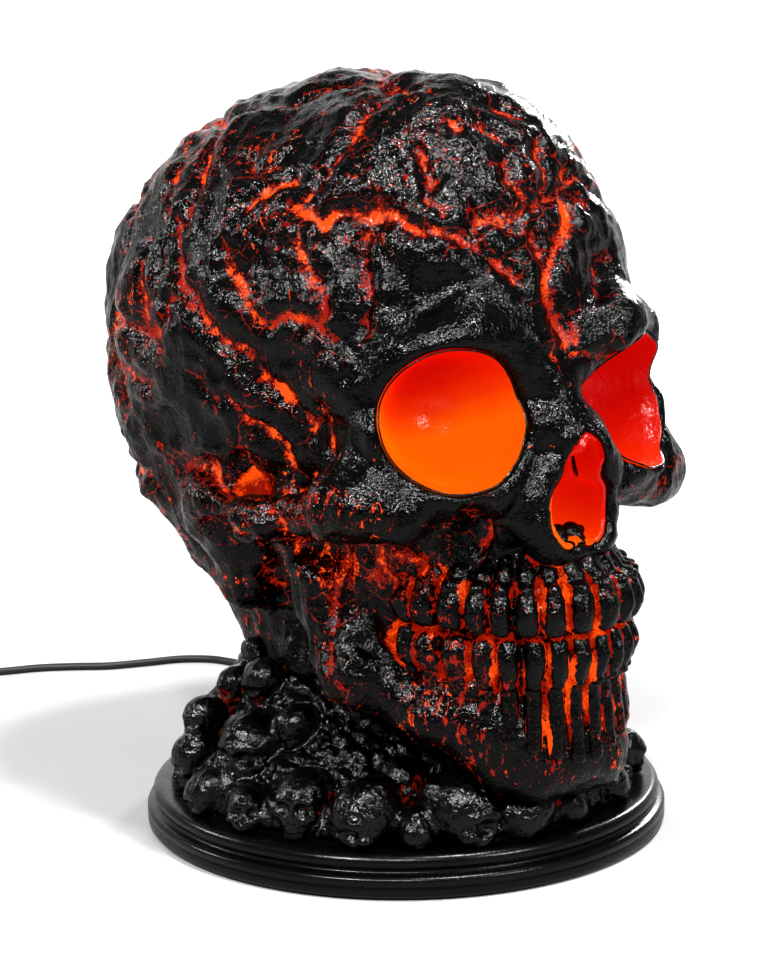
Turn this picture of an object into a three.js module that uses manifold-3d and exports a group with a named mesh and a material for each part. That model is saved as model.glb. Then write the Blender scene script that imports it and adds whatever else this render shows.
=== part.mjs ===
import * as THREE from "three";
import { mergeVertices } from "three/addons/utils/BufferGeometryUtils.js";
import Module from "manifold-3d";

const wasm = await Module();
wasm.setup();

// Skull lamp: a hollow translucent skull on a heap of small skulls and a round plinth.
// Millimetres, +Z up. The origin is the centre of the pad's underside, and the face looks along -Y.

// Driving dimensions
const plinthRadius = 100;
const plinthHeight = 15.5;
const skullWidth = 174;
const skullLength = 214;
const skullHeight = 250;
const neckSeat = 62;
const castingWall = 6;
const seatGap = 0.3;
const overrun = 4;

// The skull's tables hold shares, and these say how many its width, length and height take
const craniumWidthShares = 1.74;
const craniumLengthShares = 2.14;
const craniumHeightShares = 2.5;
const neckSeatShare = 0.62;
const unit = new THREE.Vector3(
  skullWidth / craniumWidthShares,
  skullLength / craniumLengthShares,
  skullHeight / craniumHeightShares,
);
const skullFloor = neckSeat - neckSeatShare * unit.z;

// Closed solids from three.js geometries, and back
function closed(geometry) {
  const bare = geometry.clone();
  for (const name of Object.keys(bare.attributes)) {
    if (name !== "position") bare.deleteAttribute(name);
  }
  const merged = mergeVertices(bare);
  const index = merged.index.array;
  const kept = [];
  for (let i = 0; i < index.length; i += 3) {
    const [a, b, c] = [index[i], index[i + 1], index[i + 2]];
    if (a !== b && b !== c && c !== a) kept.push(a, b, c);
  }
  merged.setIndex(kept);
  return merged;
}

function signedVolume(geometry) {
  const place = geometry.attributes.position;
  const index = geometry.index.array;
  const [a, b, c] = [new THREE.Vector3(), new THREE.Vector3(), new THREE.Vector3()];
  let sum = 0;
  for (let i = 0; i < index.length; i += 3) {
    a.fromBufferAttribute(place, index[i]);
    b.fromBufferAttribute(place, index[i + 1]);
    c.fromBufferAttribute(place, index[i + 2]);
    sum += a.dot(b.cross(c));
  }
  return sum;
}

function faceOut(geometry) {
  const ready = closed(geometry);
  if (signedVolume(ready) < 0) {
    const index = Array.from(ready.index.array);
    for (let i = 0; i < index.length; i += 3) [index[i], index[i + 1]] = [index[i + 1], index[i]];
    ready.setIndex(index);
  }
  return ready;
}

function solid(geometry) {
  const ready = faceOut(geometry);
  return new wasm.Manifold(new wasm.Mesh({
    numProp: 3,
    vertProperties: new Float32Array(ready.attributes.position.array),
    triVerts: new Uint32Array(ready.index.array),
  }));
}

function shape(body) {
  const mesh = body.getMesh();
  const geometry = new THREE.BufferGeometry();
  geometry.setAttribute("position", new THREE.BufferAttribute(mesh.vertProperties, 3));
  geometry.setIndex(new THREE.BufferAttribute(mesh.triVerts, 1));
  return geometry;
}

// A turned solid about Z from [radius, height] pairs
function turned(profile, sides) {
  const points = profile.map(([radius, height]) => new THREE.Vector2(radius, height));
  return new THREE.LatheGeometry(points, sides).rotateX(Math.PI / 2);
}

function disc(radius, low, high, sides) {
  return turned([[0, low], [radius, low], [radius, high], [0, high]], sides);
}

function box(width, depth, height) {
  return new THREE.BoxGeometry(width, depth, height);
}

const polar = (radius, angle) => [radius * Math.cos(angle), radius * Math.sin(angle)];

// Distance forms in shares: below zero inside
const soften = (a, b, blend) => {
  const mix = Math.min(Math.max(0.5 + (0.5 * (b - a)) / blend, 0), 1);
  return b * (1 - mix) + a * mix - blend * mix * (1 - mix);
};
const carve = (a, b, blend) => -soften(-a, b, blend);

function swing([x, y, z], degrees) {
  const angle = (-degrees * Math.PI) / 180;
  const [c, s] = [Math.cos(angle), Math.sin(angle)];
  return [x * c - y * s, x * s + y * c, z];
}

function tipped([x, y, z], degrees) {
  const angle = (-degrees * Math.PI) / 180;
  const [c, s] = [Math.cos(angle), Math.sin(angle)];
  return [x, y * c - z * s, y * s + z * c];
}

function egg(p, { at, size, turn = 0 }) {
  const q = swing([p[0] - at[0], p[1] - at[1], p[2] - at[2]], turn);
  const far = Math.hypot(q[0] / size[0], q[1] / size[1], q[2] / size[2]);
  const steep = Math.hypot(q[0] / size[0] ** 2, q[1] / size[1] ** 2, q[2] / size[2] ** 2);
  return steep === 0 ? -Math.min(...size) : (far * (far - 1)) / steep;
}

function bone(p, { from, to, thick }) {
  const way = to.map((value, i) => value - from[i]);
  const off = p.map((value, i) => value - from[i]);
  const length = way.reduce((sum, value) => sum + value * value, 0);
  const dot = way.reduce((sum, value, i) => sum + value * off[i], 0);
  const t = Math.min(Math.max(dot / length, 0), 1);
  const gap = Math.hypot(...off.map((value, i) => value - t * way[i]));
  return gap - (thick[0] + (thick[1] - thick[0]) * t);
}

function rounded(a, b, edge) {
  return Math.hypot(Math.max(a, 0), Math.max(b, 0)) + Math.min(Math.max(a, b), 0) - edge;
}

// An oval plate with rounded edges, from low to high
function plate(p, { at, size, low, high, edge }) {
  const q = [p[0] - at[0], p[1] - at[1]];
  const far = Math.hypot(q[0] / size[0], q[1] / size[1]);
  const steep = Math.hypot(q[0] / size[0] ** 2, q[1] / size[1] ** 2);
  const side = steep === 0 ? -Math.min(...size) : (far * (far - 1)) / steep;
  return rounded(side + edge, Math.abs(p[2] - (low + high) / 2) - (high - low) / 2 + edge, edge);
}

// Skull: strokes laid one after another; a pair stroke is laid on both sides
const craniumShares = [
  { form: egg, at: [0, 0.17, 1.935], size: [0.87, 1.04, 0.895], blend: 0.2 },
  { form: egg, pair: true, at: [0.3, 0.4, 1.87], size: [0.57, 0.78, 0.73], blend: 0.2 },
  { form: egg, at: [0, 0.57, 1.46], size: [0.73, 0.67, 0.62], blend: 0.25 },
  { form: egg, at: [0, -0.3, 1.98], size: [0.62, 0.45, 0.77], blend: 0.2 },
  { form: egg, at: [0, 0.34, 1.06], size: [0.57, 0.52, 0.42], blend: 0.25 },
  { form: egg, at: [0, -0.38, 1.3], size: [0.56, 0.44, 0.6], blend: 0.15 },
];
const neckShares = [
  { form: bone, from: [0, 0.26, 1.1], to: [0, 0.12, 0.6], thick: [0.46, 0.5], blend: 0.2 },
];
const faceShares = [
  { form: egg, hollow: true, pair: true, at: [1.06, -0.5, 1.66],
    size: [0.34, 0.38, 0.46], turn: 16, blend: 0.14 },
  { form: bone, pair: true, from: [0.64, 0.22, 1.22], to: [0.58, 0.16, 0.98],
    thick: [0.16, 0.1], blend: 0.12 },
  { form: bone, pair: true, from: [0.1, -0.86, 1.86], to: [0.34, -0.83, 1.93],
    thick: [0.085, 0.08], blend: 0.16 },
  { form: bone, pair: true, from: [0.34, -0.83, 1.93], to: [0.53, -0.7, 1.85],
    thick: [0.08, 0.065], blend: 0.14 },
  { form: bone, pair: true, from: [0.53, -0.7, 1.85], to: [0.65, -0.61, 1.55],
    thick: [0.065, 0.06], blend: 0.1 },
  { form: egg, pair: true, at: [0.6, -0.66, 1.38], size: [0.2, 0.16, 0.14], turn: 30, blend: 0.12 },
  { form: bone, pair: true, from: [0.68, -0.56, 1.36], to: [0.8, -0.2, 1.26],
    thick: [0.09, 0.065], blend: 0.1 },
  { form: bone, pair: true, from: [0.8, -0.2, 1.26], to: [0.76, 0.14, 1.3],
    thick: [0.065, 0.09], blend: 0.08 },
  { form: bone, pair: true, from: [0.56, -0.76, 1.34], to: [0.2, -0.9, 1.44],
    thick: [0.085, 0.07], blend: 0.08 },
  { form: bone, from: [0, -0.81, 1.79], to: [0, -1.07, 1.55], thick: [0.095, 0.055], blend: 0.08 },
  { form: bone, pair: true, from: [0.08, -0.95, 1.6], to: [0.19, -0.87, 1.28],
    thick: [0.06, 0.06], blend: 0.08 },
  { form: plate, at: [0, -0.6], size: [0.34, 0.4], low: 0.98, high: 1.24, edge: 0.1, blend: 0.1 },
  { form: plate, at: [0, -0.6], size: [0.37, 0.43], low: 0.48, high: 0.86, edge: 0.1, blend: 0.04 },
  { form: plate, at: [0, -0.61], size: [0.35, 0.41], low: 0.78, high: 1.06, edge: 0.03, blend: 0.02 },
  { form: egg, at: [0, -0.91, 0.45], size: [0.28, 0.17, 0.16], blend: 0.12 },
  { form: bone, pair: true, from: [0.26, -0.79, 0.56], to: [0.48, -0.4, 0.73],
    thick: [0.12, 0.12], blend: 0.12 },
  { form: bone, pair: true, from: [0.5, -0.38, 0.74], to: [0.56, -0.2, 1.22],
    thick: [0.14, 0.13], blend: 0.12 },
  { form: bone, pair: true, from: [0.63, -0.56, 1.78], to: [0.64, -0.42, 2.12],
    thick: [0.05, 0.02], blend: 0.1 },
  { form: egg, hollow: true, pair: true, at: [0.62, -0.42, 1.16], size: [0.1, 0.16, 0.09], blend: 0.06 },
  { form: egg, hollow: true, pair: true, at: [0.46, -0.78, 1.2],
    size: [0.09, 0.08, 0.07], turn: 30, blend: 0.05 },
  { form: egg, hollow: true, pair: true, at: [0.78, 0.02, 1.2], size: [0.07, 0.07, 0.07], blend: 0.06 },
  { form: bone, pair: true, from: [0.62, 0.45, 1.32], to: [0.3, 0.92, 1.42],
    thick: [0.04, 0.04], blend: 0.06 },
  { form: bone, from: [0.3, 1, 1.5], to: [-0.3, 1, 1.5], thick: [0.05, 0.05], blend: 0.06 },
];
// Long waves over the whole casting: how they run, where they start, how high they are
const waveShares = [
  { way: [17.2, 9.4, 6.1], start: 0.4, height: 0.006 },
  { way: [-8.3, 14.9, 11.2], start: 2.1, height: 0.006 },
  { way: [4.6, -12.8, 17.7], start: 4.4, height: 0.006 },
  { way: [12.4, 3.2, -19.6], start: 1.3, height: 0.005 },
  { way: [-21.5, 6.8, 8.9], start: 3.2, height: 0.004 },
  { way: [6.3, 22.1, -4.7], start: 5.6, height: 0.004 },
];
const eyeShares = { at: [0.425, -0.92, 1.665], size: [0.265, 0.42, 0.242], turn: 20 };
const noseShares = [
  { at: [0.06, -1.0, 1.3], size: [0.1, 0.3, 0.13] },
  { at: [-0.06, -1.0, 1.3], size: [0.1, 0.3, 0.13] },
  { at: [0, -1.0, 1.42], size: [0.075, 0.3, 0.19] },
];

function strokes(p, list, start = Infinity) {
  let distance = start;
  for (const stroke of list) {
    const q = stroke.pair ? [Math.abs(p[0]), p[1], p[2]] : p;
    const next = stroke.form(q, stroke);
    const lay = stroke.hollow ? carve : soften;
    distance = distance === Infinity ? next : lay(distance, next, stroke.blend);
  }
  return distance;
}

const hollowForm = (p) => strokes(p, craniumShares);
const relief = (p) => waveShares.reduce((sum, { way, start, height }) => (
  sum + height * Math.sin(p[0] * way[0] + p[1] * way[1] + p[2] * way[2] + start)
), 0);
const skullForm = (p) => strokes(p, faceShares, strokes(p, neckShares, hollowForm(p))) - relief(p);

// The surface at a level of a form, seen from a middle point along evenly spread directions
function ballooned(form, middle, level, detail, reachShare, marchShare) {
  const ball = closed(new THREE.IcosahedronGeometry(1, detail));
  const place = ball.attributes.position;
  const way = new THREE.Vector3();
  const stepShare = 0.005;
  for (let i = 0; i < place.count; i++) {
    way.fromBufferAttribute(place, i).normalize();
    const point = (far) => [middle[0] + way.x * far, middle[1] + way.y * far, middle[2] + way.z * far];
    let far = reachShare;
    let gap = form(point(far)) - level;
    while (gap > 0 && far > 0) {
      far -= Math.max(gap * marchShare, stepShare);
      gap = form(point(far)) - level;
    }
    let [inside, outside] = [far, far + 2 * stepShare];
    for (let round = 0; round < 12; round++) {
      const half = (inside + outside) / 2;
      if (form(point(half)) > level) outside = half;
      else inside = half;
    }
    place.setXYZ(i, ...point(inside));
  }
  return ball;
}

const skullMiddleShares = [0, -0.42, 1.38];
const skullReachShare = 2.4;
const marchShare = 0.6;

function stretched(geometry) {
  return geometry.scale(unit.x, unit.y, unit.z).translate(0, 0, skullFloor);
}

function skullSkin(form, level, detail) {
  return stretched(ballooned(form, skullMiddleShares, level, detail, skullReachShare, marchShare));
}

// An egg-shaped solid in millimetres from a row of shares, grown or shrunk by a length
function eggSolid({ at, size, turn = 0 }, side, growth, sides) {
  const ball = new THREE.SphereGeometry(1, sides, sides / 2);
  ball.scale(size[0] * unit.x + growth, size[1] * unit.y + growth, size[2] * unit.z + growth);
  ball.rotateZ((side * turn * Math.PI) / 180);
  ball.translate(side * at[0] * unit.x, at[1] * unit.y, at[2] * unit.z + skullFloor);
  return solid(ball);
}

// Teeth: two rows of tapered blocks along an oval, each half a row from the middle out
const toothRowShares = [
  { middle: -0.62, across: 0.385, along: 0.455, height: 1.01, tall: 0.18, depth: 0.13, taper: 0.9,
    widthShares: [0.1, 0.085, 0.085, 0.08, 0.08, 0.11, 0.11, 0.1] },
  { middle: -0.61, across: 0.375, along: 0.44, height: 0.825, tall: 0.18, depth: 0.12, taper: 1.1,
    widthShares: [0.075, 0.075, 0.08, 0.08, 0.085, 0.11, 0.11, 0.1] },
];
const toothGapShare = 0.92;

function toothPlaces({ middle, across, along, widthShares }) {
  const places = [];
  const count = 400;
  let [angle, run, reached] = [0, 0, 0];
  for (const width of widthShares) {
    const goal = reached + width / 2;
    while (run < goal) {
      const next = angle + Math.PI / count;
      const sideways = across * (Math.sin(next) - Math.sin(angle));
      const back = along * (Math.cos(next) - Math.cos(angle));
      run += Math.hypot(sideways, back);
      angle = next;
    }
    const facing = Math.atan2(along * Math.sin(angle), across * Math.cos(angle));
    places.push({ x: across * Math.sin(angle), y: middle - along * Math.cos(angle), facing, width });
    reached += width;
  }
  return places;
}

function toothSolids() {
  const list = [];
  for (const row of toothRowShares) {
    for (const place of toothPlaces(row)) {
      for (const side of [1, -1]) {
        const corner = Math.SQRT2;
        const block = new THREE.CylinderGeometry(
          corner, row.taper * corner, 1, 4, 1, false, Math.PI / 4,
        ).rotateX(Math.PI / 2);
        const wide = (place.width / 2) * toothGapShare;
        block.scale(wide * unit.x, (row.depth / 2) * unit.y, row.tall * unit.z);
        block.rotateZ(side * place.facing);
        block.translate(side * place.x * unit.x, place.y * unit.y, row.height * unit.z + skullFloor);
        list.push(solid(block));
      }
    }
  }
  return list;
}

// Mound: a heap of small skulls, some in their own places and the rest in rings
const moundInset = 13;
const moundRadius = plinthRadius - moundInset;
const moundHeight = 72;
const moundFoot = plinthHeight + seatGap;
const moundRadiusShares = 0.87;
const moundHeightShares = 0.72;
const moundUnit = new THREE.Vector3(
  moundRadius / moundRadiusShares,
  moundRadius / moundRadiusShares,
  moundHeight / moundHeightShares,
);
const heapShares = [
  { form: egg, at: [0, 0.05, 0.14], size: [0.84, 0.81, 0.4], blend: 0.1 },
  { form: egg, at: [0, 0.16, 0.36], size: [0.62, 0.58, 0.42], blend: 0.12 },
  { form: plate, at: [0, 0], size: [0.86, 0.86], low: -0.1, high: 0.26, edge: 0.06, blend: 0.08 },
];
// A small skull looks along -Y from its own middle, and counts in shares of its size
const smallSkullShares = [
  { form: egg, at: [0, 0.12, 0.12], size: [0.82, 1, 0.84], blend: 0.2 },
  { form: egg, at: [0, -0.42, -0.4], size: [0.5, 0.42, 0.55], blend: 0.25 },
  { form: egg, at: [0, -0.5, -0.95], size: [0.36, 0.32, 0.34], blend: 0.15 },
  { form: egg, hollow: true, pair: true, at: [0.3, -0.92, -0.12], size: [0.24, 0.34, 0.22], blend: 0.06 },
];
const smallReachShare = 3;
const smallBlendShare = 0.02;
// Where each stands, in shares, and in degrees its direction from the middle, its turn aside and its tip
const shownSkullShares = [
  { angle: 147, radius: 0.56, height: 0.64, size: 0.08, aside: -30, tip: 0 },
  { angle: 153, radius: 0.65, height: 0.53, size: 0.085, aside: 20, tip: 10 },
  { angle: 160, radius: 0.79, height: 0.44, size: 0.09, aside: 10, tip: 0 },
  { angle: 162, radius: 0.83, height: 0.3, size: 0.1, aside: -10, tip: 20 },
  { angle: 180, radius: 0.7, height: 0.38, size: 0.15, aside: 25, tip: -5 },
  { angle: -153, radius: 0.8, height: 0.27, size: 0.125, aside: 5, tip: -8 },
  { angle: -136, radius: 0.84, height: 0.25, size: 0.14, aside: -35, tip: 10 },
  { angle: -112, radius: 0.83, height: 0.25, size: 0.16, aside: 40, tip: 0 },
  { angle: -96, radius: 0.84, height: 0.22, size: 0.13, aside: -60, tip: 40 },
  { angle: -83, radius: 0.85, height: 0.2, size: 0.08, aside: 30, tip: 60 },
  { angle: -64, radius: 0.84, height: 0.22, size: 0.1, aside: -25, tip: 20 },
  { angle: -40, radius: 0.84, height: 0.24, size: 0.1, aside: 15, tip: 0 },
  { angle: -124, radius: 0.86, height: 0.2, size: 0.09, aside: 10, tip: 30 },
  { angle: 177, radius: 0.85, height: 0.22, size: 0.11, aside: -20, tip: 10 },
  { angle: -168, radius: 0.85, height: 0.21, size: 0.1, aside: 35, tip: -20 },
  { angle: -128, radius: 0.69, height: 0.34, size: 0.09, aside: -10, tip: 0 },
  { angle: -168, radius: 0.6, height: 0.46, size: 0.09, aside: -30, tip: 30 },
];
const ringShares = [
  { count: 17, radius: 0.8, height: 0.25, size: 0.105, start: 0.2 },
  { count: 14, radius: 0.68, height: 0.41, size: 0.105, start: 0.55 },
  { count: 11, radius: 0.57, height: 0.58, size: 0.095, start: 0.1, fromFront: 0.5 },
];
const ringAside = 40;
const ringTip = 20;
const apartShare = 0.9;

function smallSkull(p, { at, size, turn, tip }) {
  const off = [p[0] - at[0], p[1] - at[1], p[2] - at[2]];
  const q = tipped(swing(off, turn), tip).map((value) => value / size);
  const far = Math.hypot(...q);
  return size * (far > smallReachShare ? far - smallReachShare / 2 : strokes(q, smallSkullShares));
}

function smallSkullAt({ angle, radius, height, size, aside, tip }) {
  const at = [...polar(radius, (angle * Math.PI) / 180), height];
  return { form: smallSkull, at, size, turn: angle + 90 + aside, tip, blend: smallBlendShare };
}

function allSmallSkulls() {
  const list = shownSkullShares.map(smallSkullAt);
  for (const { count, start, fromFront = 1, ...row } of ringShares) {
    for (let i = 0; i < count; i++) {
      const angle = ((i + start) / count) * 360;
      if (Math.sin((angle * Math.PI) / 180) < -fromFront) continue;
      const [aside, tip] = [ringAside * Math.sin(5 * i), ringTip * Math.sin(3 * i)];
      const next = smallSkullAt({ ...row, angle, aside, tip });
      const clear = list.every(({ at, size }) => (
        Math.hypot(...at.map((value, k) => value - next.at[k])) > apartShare * (size + next.size)
      ));
      if (clear) list.push(next);
    }
  }
  return list;
}

const smallSkulls = allSmallSkulls();
const moundForm = (p) => strokes(p, smallSkulls, strokes(p, heapShares));
const moundMiddleShares = [0, 0.08, 0.12];
const moundReachShare = 1.4;

// Neck joint: a round spigot under the skull in a round seat in the mound, round a light well
const neckMiddle = 12;
const spigotRadius = 47;
const spigotHeight = 14;
const wellRadius = 34;
const neckOverhang = 15;
const moundFootWall = 14;
const moundHollowFoot = moundRadius - moundFootWall;
const moundHollowY = 2;
const jawClearanceShare = 0.025;
const roundSides = 32;

const skullSkinDetail = 11;
const hollowDetail = 4;
const roomDetail = 7;
const moundDetail = 14;

function column(radius, low, high, sides = roundSides) {
  return solid(disc(radius, low, high, sides).translate(0, neckMiddle, 0));
}

function slab(low, high) {
  const reach = 2 * (skullWidth + skullLength);
  return solid(box(reach, reach, high - low).translate(0, 0, (low + high) / 2));
}

// Screws: round head and plain shank; each hole has a clearance all round
const screwSides = 8;
const screwGap = 0.3;
const screws = {
  cover: { head: 3, headHeight: 1.8, shank: 1.5, length: 7 },
  mound: { head: 3, headHeight: 1.8, shank: 1.5, length: 14 },
  neck: { head: 3.2, headHeight: 2, shank: 1.6, length: 16 },
  post: { head: 2.8, headHeight: 1.8, shank: 1.4, length: 7 },
  board: { head: 2.1, headHeight: 1.4, shank: 1, length: 4.5 },
  clamp: { head: 2.1, headHeight: 1.4, shank: 1, length: 5.6 },
  switch: { head: 2.1, headHeight: 1.4, shank: 1, length: 9.5 },
};

// The head's outer face is at z; the shank runs up from it, or down where the head is on top
function screwShape({ head, headHeight, shank, length }, x, y, z, way) {
  const geometry = turned([
    [0, 0], [head, 0], [head, headHeight],
    [shank, headHeight], [shank, headHeight + length], [0, headHeight + length],
  ], screwSides);
  if (way < 0) geometry.rotateX(Math.PI);
  return geometry.translate(x, y, z);
}

function screwHole({ head, headHeight, shank, length }, x, y, z, way) {
  const geometry = turned([
    [0, -overrun], [head + screwGap, -overrun], [head + screwGap, headHeight + screwGap],
    [shank + screwGap, headHeight + screwGap],
    [shank + screwGap, headHeight + length + screwGap], [0, headHeight + length + screwGap],
  ], screwSides);
  if (way < 0) geometry.rotateX(Math.PI);
  return solid(geometry.translate(x, y, z));
}

function drilled(body, kind, places, z, way) {
  return places.reduce((left, [x, y]) => left.subtract(screwHole(kind, x, y, z, way)), body);
}

function around(count, radius, start, middleY = 0) {
  const list = [];
  for (let i = 0; i < count; i++) {
    const [x, y] = polar(radius, start + (i * 2 * Math.PI) / count);
    list.push([x, y + middleY]);
  }
  return list;
}

// Levels up from the surface that the lamp stands on
const padInset = 20;
const padRadius = plinthRadius - padInset;
const padThickness = 2;
const padProud = 0.8;
const coverInset = 6;
const coverRadius = plinthRadius - coverInset;
const coverThickness = 4;
const coverBottom = padThickness + seatGap;
const coverTop = coverBottom + coverThickness;
const ledge = coverTop + seatGap;
const ringWidth = 28;
const ringBore = plinthRadius - ringWidth;
const neckFloorThickness = 8;
const neckFloorTop = neckSeat - seatGap;
const neckFloorBottom = neckFloorTop - neckFloorThickness;

const coverScrewInset = 13;
const moundScrewInset = 20;
const coverScrewRadius = plinthRadius - coverScrewInset;
const moundScrewRadius = plinthRadius - moundScrewInset;
const coverScrewPlaces = around(4, coverScrewRadius, Math.PI / 4);
const moundScrewPlaces = around(3, moundScrewRadius, Math.PI / 3);
const neckScrewPlaces = around(3, (spigotRadius + wellRadius) / 2, Math.PI / 2, neckMiddle);
const moundScrewZ = ledge + seatGap;
const neckScrewZ = neckFloorBottom - screws.neck.headHeight - seatGap;

const materials = {
  lava: { color: 0x1a0a07, roughness: 0.35, metalness: 0 },
  glow: { color: 0xff3a08, roughness: 0.2, metalness: 0 },
  stone: { color: 0x0d0d0e, roughness: 0.45, metalness: 0 },
  plastic: { color: 0x17171a, roughness: 0.55, metalness: 0 },
  foam: { color: 0x222224, roughness: 0.95, metalness: 0 },
  white: { color: 0xe6e3da, roughness: 0.5, metalness: 0 },
  lamp: { color: 0xffb84d, roughness: 0.25, metalness: 0 },
  steel: { color: 0xa8abb0, roughness: 0.3, metalness: 1 },
  rubber: { color: 0x101012, roughness: 0.7, metalness: 0 },
};

const lamp = new THREE.Group();
function piece(name, geometry, finish) {
  const mesh = new THREE.Mesh(geometry, new THREE.MeshStandardMaterial(materials[finish]));
  mesh.name = name;
  lamp.add(mesh);
}

function fasten(name, kind, places, z, way) {
  places.forEach(([x, y], i) => piece(`${name}_${i + 1}`, screwShape(kind, x, y, z, way), "steel"));
}

// The skull casting: skin and teeth, less the hollow, the neck's trim, the windows and the screw holes
const hollowFloor = neckSeat + spigotHeight + castingWall;

function neckTrim() {
  const reach = spigotRadius + neckOverhang;
  const shoulder = neckSeat + spigotHeight;
  const under = column(reach, -skullHeight, neckSeat);
  const step = column(reach, neckSeat - overrun, shoulder);
  return step.subtract(column(spigotRadius, neckSeat - 2 * overrun, shoulder + overrun)).add(under);
}

function makeSkull() {
  const hollow = solid(skullSkin(hollowForm, -castingWall / unit.x, hollowDetail))
    .subtract(slab(-skullHeight, hollowFloor));
  let body = solid(skullSkin(skullForm, 0, skullSkinDetail));
  for (const tooth of toothSolids()) body = body.add(tooth);
  body = body.subtract(hollow).subtract(neckTrim());
  body = body.subtract(column(wellRadius, neckSeat - overrun, hollowFloor + 3 * castingWall));
  for (const side of [-1, 1]) body = body.subtract(eggSolid(eyeShares, side, seatGap, bowlSides));
  for (const row of noseShares) body = body.subtract(eggSolid(row, 1, seatGap, noseSides));
  return drilled(body, screws.neck, neckScrewPlaces, neckScrewZ, 1);
}

// A bowl is an egg shell cut open in front by a plane across its own axis
const bowlWall = 1.8;
const bowlSides = 18;
const noseSides = 14;
const eyeRimShare = -0.3;
const noseRimShare = -0.25;

function frontOf(row, side, rimShare) {
  const reach = 2 * skullWidth;
  const block = box(reach, reach, reach).translate(0, -reach / 2 - rimShare * row.size[1] * unit.y, 0);
  block.rotateZ((side * (row.turn ?? 0) * Math.PI) / 180);
  block.translate(side * row.at[0] * unit.x, row.at[1] * unit.y, row.at[2] * unit.z + skullFloor);
  return solid(block);
}

function eyeBowl(side) {
  return eggSolid(eyeShares, side, 0, bowlSides)
    .subtract(eggSolid(eyeShares, side, -bowlWall, bowlSides))
    .subtract(frontOf(eyeShares, side, eyeRimShare));
}

function noseBowl() {
  const join = (growth) => noseShares.map((row) => eggSolid(row, 1, growth, noseSides))
    .reduce((sum, next) => sum.add(next));
  return join(0).subtract(join(-bowlWall)).subtract(frontOf(noseShares[0], 1, noseRimShare));
}

// The mound casting: the heap, less its hollow, the skull's room, the neck's seat and the screw holes
const shoulderShares = [0.84, 0.52];
const throatShares = [0.6, 0.84];
const moundHollow = [
  [0, moundFoot - overrun], [moundHollowFoot, moundFoot - overrun],
  [moundHollowFoot, moundFoot + overrun],
  [moundHollowFoot * shoulderShares[0], neckFloorBottom * shoulderShares[1]],
  [moundHollowFoot * throatShares[0], neckFloorBottom * throatShares[1]],
  [moundHollowFoot * throatShares[0], neckFloorBottom], [0, neckFloorBottom],
];

function makeMound() {
  const place = (geometry) => geometry.scale(moundUnit.x, moundUnit.y, moundUnit.z);
  const skin = ballooned(moundForm, moundMiddleShares, 0, moundDetail, moundReachShare, marchShare);
  const room = solid(skullSkin(skullForm, jawClearanceShare, roomDetail))
    .subtract(slab(-skullHeight, moundFoot));
  let body = solid(place(skin)).subtract(slab(-skullHeight, moundFoot));
  body = body.subtract(solid(turned(moundHollow, roundSides)).translate([0, moundHollowY, 0]));
  body = body.subtract(room.subtract(column(spigotRadius + neckOverhang, -skullHeight, neckFloorTop)));
  body = body.subtract(column(spigotRadius + seatGap, neckFloorTop, 2 * skullHeight));
  body = body.subtract(column(wellRadius, neckFloorBottom - overrun, neckFloorTop + overrun));
  body = drilled(body, screws.neck, neckScrewPlaces, neckScrewZ, 1);
  return drilled(body, screws.mound, moundScrewPlaces, moundScrewZ, 1);
}

// Plinth ring: a foot, a cove and a rounded rim outside, a bore and a ledge for the cover inside
const footTop = 7.2;
const footInset = 1.5;
const coveInset = 3.8;
const rimInset = 2.8;
const footRim = plinthRadius - footInset;
const coveRadius = plinthRadius - coveInset;
const rimRadius = plinthRadius - rimInset;
const edge = 1.4;

function plinthProfile() {
  const inner = coverRadius + seatGap;
  return [
    [inner, padProud], [footRim, padProud], [plinthRadius, padProud + edge], [plinthRadius, footTop],
    [plinthRadius - edge, footTop + edge], [coveRadius, footTop + 2 * edge],
    [rimRadius, footTop + 3 * edge], [rimRadius, plinthHeight - edge], [rimRadius - edge, plinthHeight],
    [ringBore, plinthHeight], [ringBore, ledge], [inner, ledge], [inner, padProud],
  ];
}

// The cord's way out: a rubber grommet through the ring, along +Y, with a flange on either side
const cordDiameter = 3.5;
const exitHeight = 11;
const grommetRadius = 2.9;
const flangeRadius = 4.4;
const flangeThickness = 2;
const grommetInset = 1.7;
const grommetOverhang = 0.6;
const grommetSeat = plinthRadius - grommetInset;
const grommetInside = ringBore - grommetOverhang;
const noseLength = 5;
const noseTip = 2.7;
const grommetEnd = grommetSeat + flangeThickness + noseLength;

// A turned solid laid along +Y
function along(profile, sides) {
  return turned(profile, sides).rotateX(-Math.PI / 2);
}

function grommet() {
  const bore = cordDiameter / 2 + seatGap;
  const inside = grommetInside - flangeThickness;
  const geometry = along([
    [bore, inside], [flangeRadius, inside], [flangeRadius, grommetInside],
    [grommetRadius, grommetInside], [grommetRadius, grommetSeat], [flangeRadius, grommetSeat],
    [flangeRadius, grommetSeat + flangeThickness], [grommetRadius, grommetSeat + flangeThickness],
    [noseTip, grommetEnd], [bore, grommetEnd], [bore, inside],
  ], 12);
  return geometry.translate(0, 0, exitHeight);
}

function makePlinth() {
  let ring = solid(turned(plinthProfile(), roundSides));
  const way = along([
    [0, ringBore - overrun], [grommetRadius + seatGap, ringBore - overrun],
    [grommetRadius + seatGap, grommetSeat], [flangeRadius + seatGap, grommetSeat],
    [flangeRadius + seatGap, plinthRadius + overrun], [0, plinthRadius + overrun],
  ], 12);
  ring = ring.subtract(solid(way.translate(0, 0, exitHeight)));
  ring = drilled(ring, screws.cover, coverScrewPlaces, coverBottom, 1);
  return drilled(ring, screws.mound, moundScrewPlaces, moundScrewZ, 1);
}

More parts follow.
